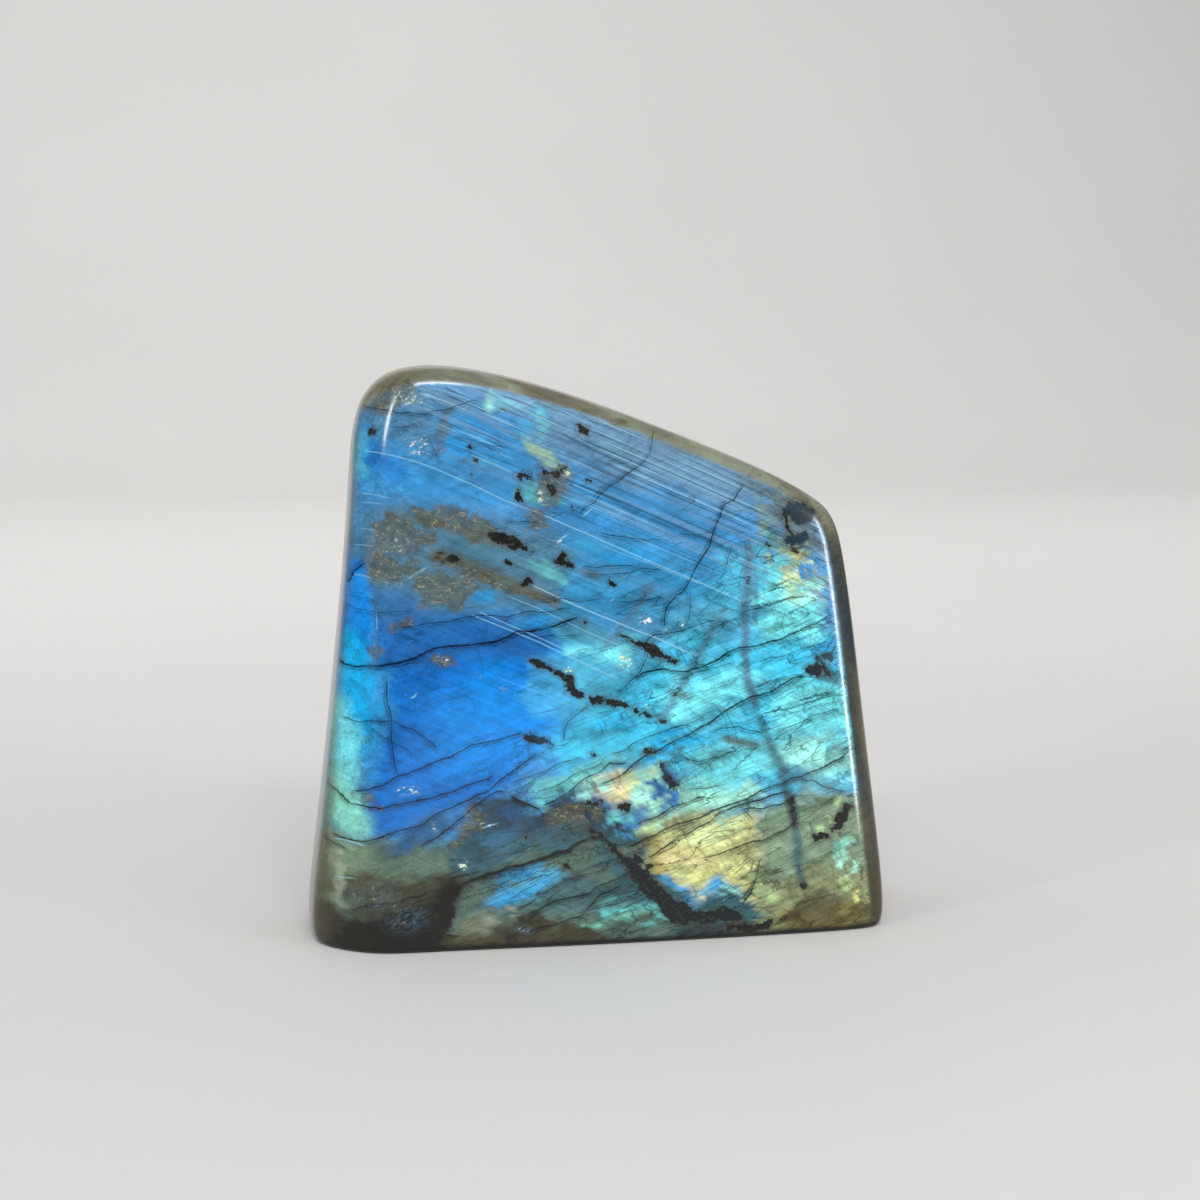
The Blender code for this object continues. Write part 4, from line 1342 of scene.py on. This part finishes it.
def stone_material(crack_names, growth_names, finish, colours):
    """Polished labradorite: painted flash with painted shade and reflections in it, fibre, grain, growth
    lines, cracks, sparkle painted as glints, and inclusions.
    """
    material = bpy.data.materials.new("polished_labradorite")
    recipe = Recipe(material, colours)
    place = recipe.place()
    ragged = recipe.noise(place, 1.1, 4.0, 0.62)
    uneven = recipe.maths("MULTIPLY_ADD", ragged, 2.2, -1.1)
    # The painted colour, with painted shade beside the cracks and along the foot and painted reflections on the
    # rim.
    colour = recipe.add("ShaderNodeAttribute", attribute_name="flash").outputs["Color"]
    broken, stripes, dull, _ = recipe.attribute("habit")
    colour, fibre, grain = add_fibre(recipe, place, colour, broken, stripes)
    inner = recipe.maths("SUBTRACT", 1.0, recipe.maths("MULTIPLY", dull, 0.8))
    net = recipe.times(crack_net(recipe, place, ragged, broken), inner)
    colour = recipe.darker(net, colour)

    growth_wiggle = recipe.maths("MULTIPLY", uneven, 0.04)
    growth = lines_share(recipe, growth_names, growth_wiggle)
    colour = recipe.tint(recipe.maths("MULTIPLY", growth, 0.75), colour, "pale_line")
    veined, colour, dark = add_marks(recipe, place, colour, uneven, crack_names)

    rough = recipe.maths("MULTIPLY_ADD", fibre, 0.05, finish.roughness)
    rough = recipe.maths("MULTIPLY_ADD", veined, 0.08, rough)
    rough = recipe.maths("MULTIPLY_ADD", dark, 0.12, rough)
    rough = recipe.maths("MULTIPLY_ADD", dull, 0.04, rough)
    height = recipe.maths("MULTIPLY_ADD", dark, -1.0, recipe.maths("MULTIPLY", grain, 0.3))
    bump = recipe.add("ShaderNodeBump", {"Height": height, "Strength": 0.2, "Distance": 0.05 * MM})
    shader = recipe.add("ShaderNodeBsdfPrincipled", {
        "Base Color": colour,
        "Roughness": rough,
        "Normal": bump.outputs[0],
        "IOR": 1.56,
        "Specular IOR Level": 0.35,
    })
    recipe.add("ShaderNodeOutputMaterial", {"Surface": shader.outputs[0]})
    return material


def add_marks(recipe, place, colour, uneven, crack_names):
    """Veined patches, cracks, sparkle painted as glints, and dark inclusions, over the colour."""
    dark_distance, blueness, veined_distance, density = recipe.attribute("marks")
    rough_edge = recipe.maths("MULTIPLY_ADD", recipe.noise(place, 0.5, 6.0, 0.7), 2.0, -1.0)

    veined = recipe.step(recipe.maths("MULTIPLY_ADD", rough_edge, 3.0, veined_distance), 0.8, -0.6)
    mottle = recipe.noise(recipe.stretched(place, GROWTH_SLOPE, 1.8, 1.0), 1.0, 5.0, 0.7)
    patch = recipe.mix(recipe.step(mottle, 0.38, 0.62), recipe.named("bark"), recipe.named("brown_grey"))
    patch = recipe.mix(0.2, patch, colour)
    veins = recipe.threads(recipe.stretched(place, 6.0, 3.4, 1.3), 0.02, 1.5)
    veins = recipe.times(veins, recipe.step(mottle, 0.44, 0.54))
    patch = recipe.tint(recipe.times(veins, 0.65), patch, "vein")
    colour = recipe.mix(recipe.times(veined, 0.85), colour, patch)

    wiggle = recipe.maths("MULTIPLY", uneven, 0.24)
    beside = recipe.step(recipe.noise(place, 0.3, 2.0), 0.36, 0.52)
    cracks = lines_share(recipe, crack_names, wiggle, beside)
    faded = recipe.step(recipe.noise(place, 0.4, 2.0), 0.2, 0.6)
    cracks = recipe.times(cracks, recipe.maths("MULTIPLY_ADD", faded, 0.4, 0.6))
    colour = recipe.darker(cracks, colour)

    # Sparkle: painted glints, white and straw flecks that stand in for light caught by cleavage flakes, over a
    # pale cloudy tint.
    flakes = recipe.noise(recipe.stretched(place, CLEAVAGE_SLOPE, 1.5, 0.7), 1.2, 4.0, 0.7)
    reach = recipe.maths("MULTIPLY_ADD", density, -0.22, 0.72)
    painted_glint = recipe.step(recipe.maths("SUBTRACT", flakes, reach), 0.0, 0.06)
    painted_glint = recipe.times(painted_glint, recipe.step(density, 0.02, 0.2))
    warm = recipe.step(recipe.noise(place, 0.8, 1.0), 0.5, 0.6)
    glint = recipe.mix(warm, recipe.named("white"), recipe.named("straw"))
    cloudy = recipe.times(density, recipe.step(flakes, 0.4, 0.6), 0.4)
    colour = recipe.tint(cloudy, colour, "mist")
    colour = recipe.mix(recipe.times(painted_glint, 0.95), colour, glint)

    dark_distance = recipe.maths("MULTIPLY_ADD", rough_edge, 2.0, dark_distance)
    fringe = recipe.step(dark_distance, 1.0, 0.1)
    colour = recipe.tint(recipe.times(fringe, 0.4), colour, "bark")
    dark = recipe.step(dark_distance, 0.12, -0.1)
    deep = recipe.tint(blueness, recipe.named("black"), "navy")
    speck = recipe.step(flakes, 0.56, 0.66)
    deep = recipe.tint(recipe.times(speck, 0.4), deep, "brown_grey")
    colour = recipe.mix(dark, colour, deep)
    return veined, colour, dark


def stage_material():
    """A plain pale matt floor."""
    material = bpy.data.materials.new("pale_stage")
    recipe = Recipe(material)
    cloud = recipe.noise(recipe.place(), 0.004, 2.0)
    colour = recipe.mix(cloud, STAGE_LIGHT, STAGE_SHADE)
    shader = recipe.add("ShaderNodeBsdfPrincipled", {"Base Color": colour, "Roughness": 0.75})
    recipe.add("ShaderNodeOutputMaterial", {"Surface": shader.outputs[0]})
    return material


def add_soft_light(name, place, size, power, aim, colour=(1.0, 1.0, 1.0)):
    light = bpy.data.lights.new(name, "AREA")
    light.shape = "RECTANGLE"
    light.size, light.size_y = size
    light.energy = power
    light.color = colour
    lamp = bpy.data.objects.new(name, light)
    lamp.location = place
    lamp.rotation_euler = (Vector(aim) - Vector(place)).to_track_quat("-Z", "Y").to_euler()
    bpy.context.scene.collection.objects.link(lamp)


def add_world(strength):
    """An even studio sky, bright overhead and dim at eye level."""
    world = bpy.data.worlds.new("soft_studio")
    world.use_nodes = True
    tree = world.node_tree
    coordinates = tree.nodes.new("ShaderNodeTexCoord")
    parts = tree.nodes.new("ShaderNodeSeparateXYZ")
    rise = tree.nodes.new("ShaderNodeMapRange")
    rise.inputs["From Min"].default_value = 0.05
    rise.inputs["From Max"].default_value = 0.6
    rise.inputs["To Min"].default_value = 0.08 * strength
    rise.inputs["To Max"].default_value = 0.52 * strength
    background = tree.nodes["Background"]
    tree.links.new(coordinates.outputs["Generated"], parts.inputs[0])
    tree.links.new(parts.outputs["Z"], rise.inputs["Value"])
    tree.links.new(rise.outputs[0], background.inputs["Strength"])
    background.inputs["Color"].default_value = (1.0, 1.0, 1.0, 1.0)
    bpy.context.scene.world = world


def add_camera():
    """The photo's view: a phone held a little above the stone and to its left."""
    camera = bpy.data.cameras.new("camera")
    camera.sensor_width = 36.0
    camera.lens = CAMERA_LENS
    camera.clip_start = 0.01
    holder = bpy.data.objects.new("camera", camera)
    holder.location = CAMERA_PLACE
    holder.rotation_euler = (radians(90.0 - CAMERA_PITCH), 0.0, radians(CAMERA_AZIMUTH))
    bpy.context.scene.collection.objects.link(holder)
    bpy.context.scene.camera = holder


# What the stone's own sizes start from.
DEFAULT_WIDTH = 117.2
FRONT_FACING = -0.3
GROWTH_SLOPE = 24.0
CLEAVAGE_SLOPE = -20.0

# The camera, in millimetres and degrees where not a place.
CAMERA_LENS = 64.92
CAMERA_PLACE = (-0.07665, -0.42599, 0.11864)
CAMERA_PITCH = 7.0
CAMERA_AZIMUTH = -10.4

STAGE_LIGHT = (0.84, 0.83, 0.81, 1.0)
STAGE_SHADE = (0.79, 0.775, 0.755, 1.0)


class StoneSizes(bpy.types.PropertyGroup):
    width: bpy.props.FloatProperty(name="Width", description="Width of the block the stone is cut from",
                                   default=DEFAULT_WIDTH * MM, min=0.03, max=0.5, unit="LENGTH")
    depth: bpy.props.FloatProperty(name="Depth", description="Depth of the block at its foot",
                                   default=LEVELS[0][3] * MM, min=0.01, max=0.2, unit="LENGTH")
    height: bpy.props.FloatProperty(name="Height", description="Height of the block",
                                    default=BLOCK_HEIGHT * MM, min=0.03, max=0.5, unit="LENGTH")


class StoneFinish(bpy.types.PropertyGroup):
    roughness: bpy.props.FloatProperty(name="Roughness", description="How dull the polish is",
                                       default=0.09, min=0.0, max=1.0, subtype="FACTOR")


def colour_property(name, title, description):
    """A colour that the user can change, which starts as the one of that name in the table."""
    return bpy.props.FloatVectorProperty(name=title, description=description, subtype="COLOR", size=3,
                                         default=screen_colour(*COLOURS[name]), min=0.0, max=1.0)


class StoneColours(bpy.types.PropertyGroup):
    royal: colour_property("royal", "Royal blue", "The deep blue left of the middle")
    azure: colour_property("azure", "Azure", "The lighter blue above it")
    cornflower: colour_property("cornflower", "Cornflower", "The blue that fills the upper face")
    cyan: colour_property("cyan", "Cyan", "The flash on the right")
    pale_cyan: colour_property("pale_cyan", "Pale cyan", "The brightest part of the flash")
    aqua: colour_property("aqua", "Aqua", "The green blue of the round left end")
    gold: colour_property("gold", "Gold", "The yellow flash below the middle")
    olive: colour_property("olive", "Olive", "The dull green of the lower right")
    # Black also paints the shade along the foot.
    black: colour_property("black", "Black", "The dark inclusions and the foot")


class StageSettings(bpy.types.PropertyGroup):
    floor_size: bpy.props.FloatProperty(name="Floor size", description="Length of the pale floor's side",
                                        default=4.0, min=1.0, max=20.0, unit="LENGTH")
    light: bpy.props.FloatProperty(name="Light", description="How bright all the lights are",
                                   default=1.0, min=0.0, max=10.0)


class LABRADORITE_OT_stone(bpy.types.Operator):
    """Makes the polished stone from a cut block"""

    bl_idname = "labradorite.stone"
    bl_label = "Stone"

    def execute(self, context):
        scene = context.scene
        fresh_selection()
        cage = cut_block(scene.stone_sizes)
        shape_block(cage, scene.stone_sizes)
        crease_foot(cage)
        surface = fine_copy(cage)
        smooth_block(cage)
        stone = cage
        refine_front(stone, surface)
        stone.name = "labradorite_freeform"
        stone.data.name = "labradorite_freeform"
        stone.vertex_groups.clear()
        stone.data.shade_smooth()
        colours = named_colours(scene.stone_colours)
        crack_names, growth_names = paint_stone(stone.data, colours)
        stone.data.materials.append(stone_material(crack_names, growth_names, scene.stone_finish, colours))
        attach(stone, "root")
        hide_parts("stone")
        return {"FINISHED"}


class LABRADORITE_OT_stage(bpy.types.Operator):
    """Makes the pale floor, the soft lights and the camera"""

    bl_idname = "labradorite.stage"
    bl_label = "Stage"

    def execute(self, context):
        settings = context.scene.stage_settings
        fresh_selection()
        size = settings.floor_size
        bpy.ops.mesh.primitive_plane_add(size=size, location=(0.0, 0.0, 0.0))
        floor = context.object
        floor.name = "floor"
        back_edge = size / 2
        select_where(floor, lambda place: place.y > back_edge - 0.01)
        bpy.ops.mesh.extrude_region_move(TRANSFORM_OT_translate={"value": (0.0, 0.0, size / 2)})
        select_where(floor, lambda place: place.y > back_edge - 0.01 and place.z < 0.01)
        bpy.ops.mesh.bevel(offset=size / 5, segments=16)
        object_mode()
        floor.data.shade_smooth()
        floor.data.materials.append(stage_material())

        power = settings.light
        aim = (0.0, 0.0, 0.06)
        add_soft_light("overhead_light", (-0.12, -1.02, 0.91), (0.7, 0.15), 7.0 * power, aim)
        add_soft_light("left_light", (-1.015, -0.608, 0.43), (0.07, 0.3), 1.9 * power, aim)
        add_soft_light("front_light", (0.4, -2.2, 1.5), (3.0, 2.0), 6.0 * power, aim)
        add_soft_light("edge_light", (0.423, -0.402, 0.12), (0.024, 0.24), 0.6 * power, aim)
        add_soft_light("backdrop_light", (0.0, 0.35, 1.1), (1.6, 0.3), 10.0 * power, (0.0, 2.0, 0.5))
        add_world(power)
        context.scene.view_settings.view_transform = "Standard"
        add_camera()
        return {"FINISHED"}


class LABRADORITE_PT_panel(bpy.types.Panel):
    """Lists the stone's and the stage's settings and operators"""

    bl_idname = "LABRADORITE_PT_panel"
    bl_label = "Labradorite Freeform"
    bl_space_type = "VIEW_3D"
    bl_region_type = "UI"
    bl_category = "Labradorite"

    def draw(self, context):
        scene = context.scene
        for group in SETTINGS:
            settings = getattr(scene, group)
            for name in settings.__annotations__:
                self.layout.prop(settings, name)
        for operator in OPERATORS:
            self.layout.operator(operator)


OPERATORS = ("labradorite.stone", "labradorite.stage")
SETTINGS = {
    "stone_sizes": StoneSizes,
    "stone_finish": StoneFinish,
    "stone_colours": StoneColours,
    "stage_settings": StageSettings,
}
CLASSES = (*SETTINGS.values(), LABRADORITE_OT_stone, LABRADORITE_OT_stage, LABRADORITE_PT_panel)


def register():
    for item in CLASSES:
        bpy.utils.register_class(item)
    for name, group in SETTINGS.items():
        setattr(bpy.types.Scene, name, bpy.props.PointerProperty(type=group))


def unregister():
    for name in SETTINGS:
        delattr(bpy.types.Scene, name)
    for item in reversed(CLASSES):
        bpy.utils.unregister_class(item)


def main():
    register()
    bpy.ops.labradorite.stone()
    bpy.ops.labradorite.stage()


if __name__ == "__main__":
    main()
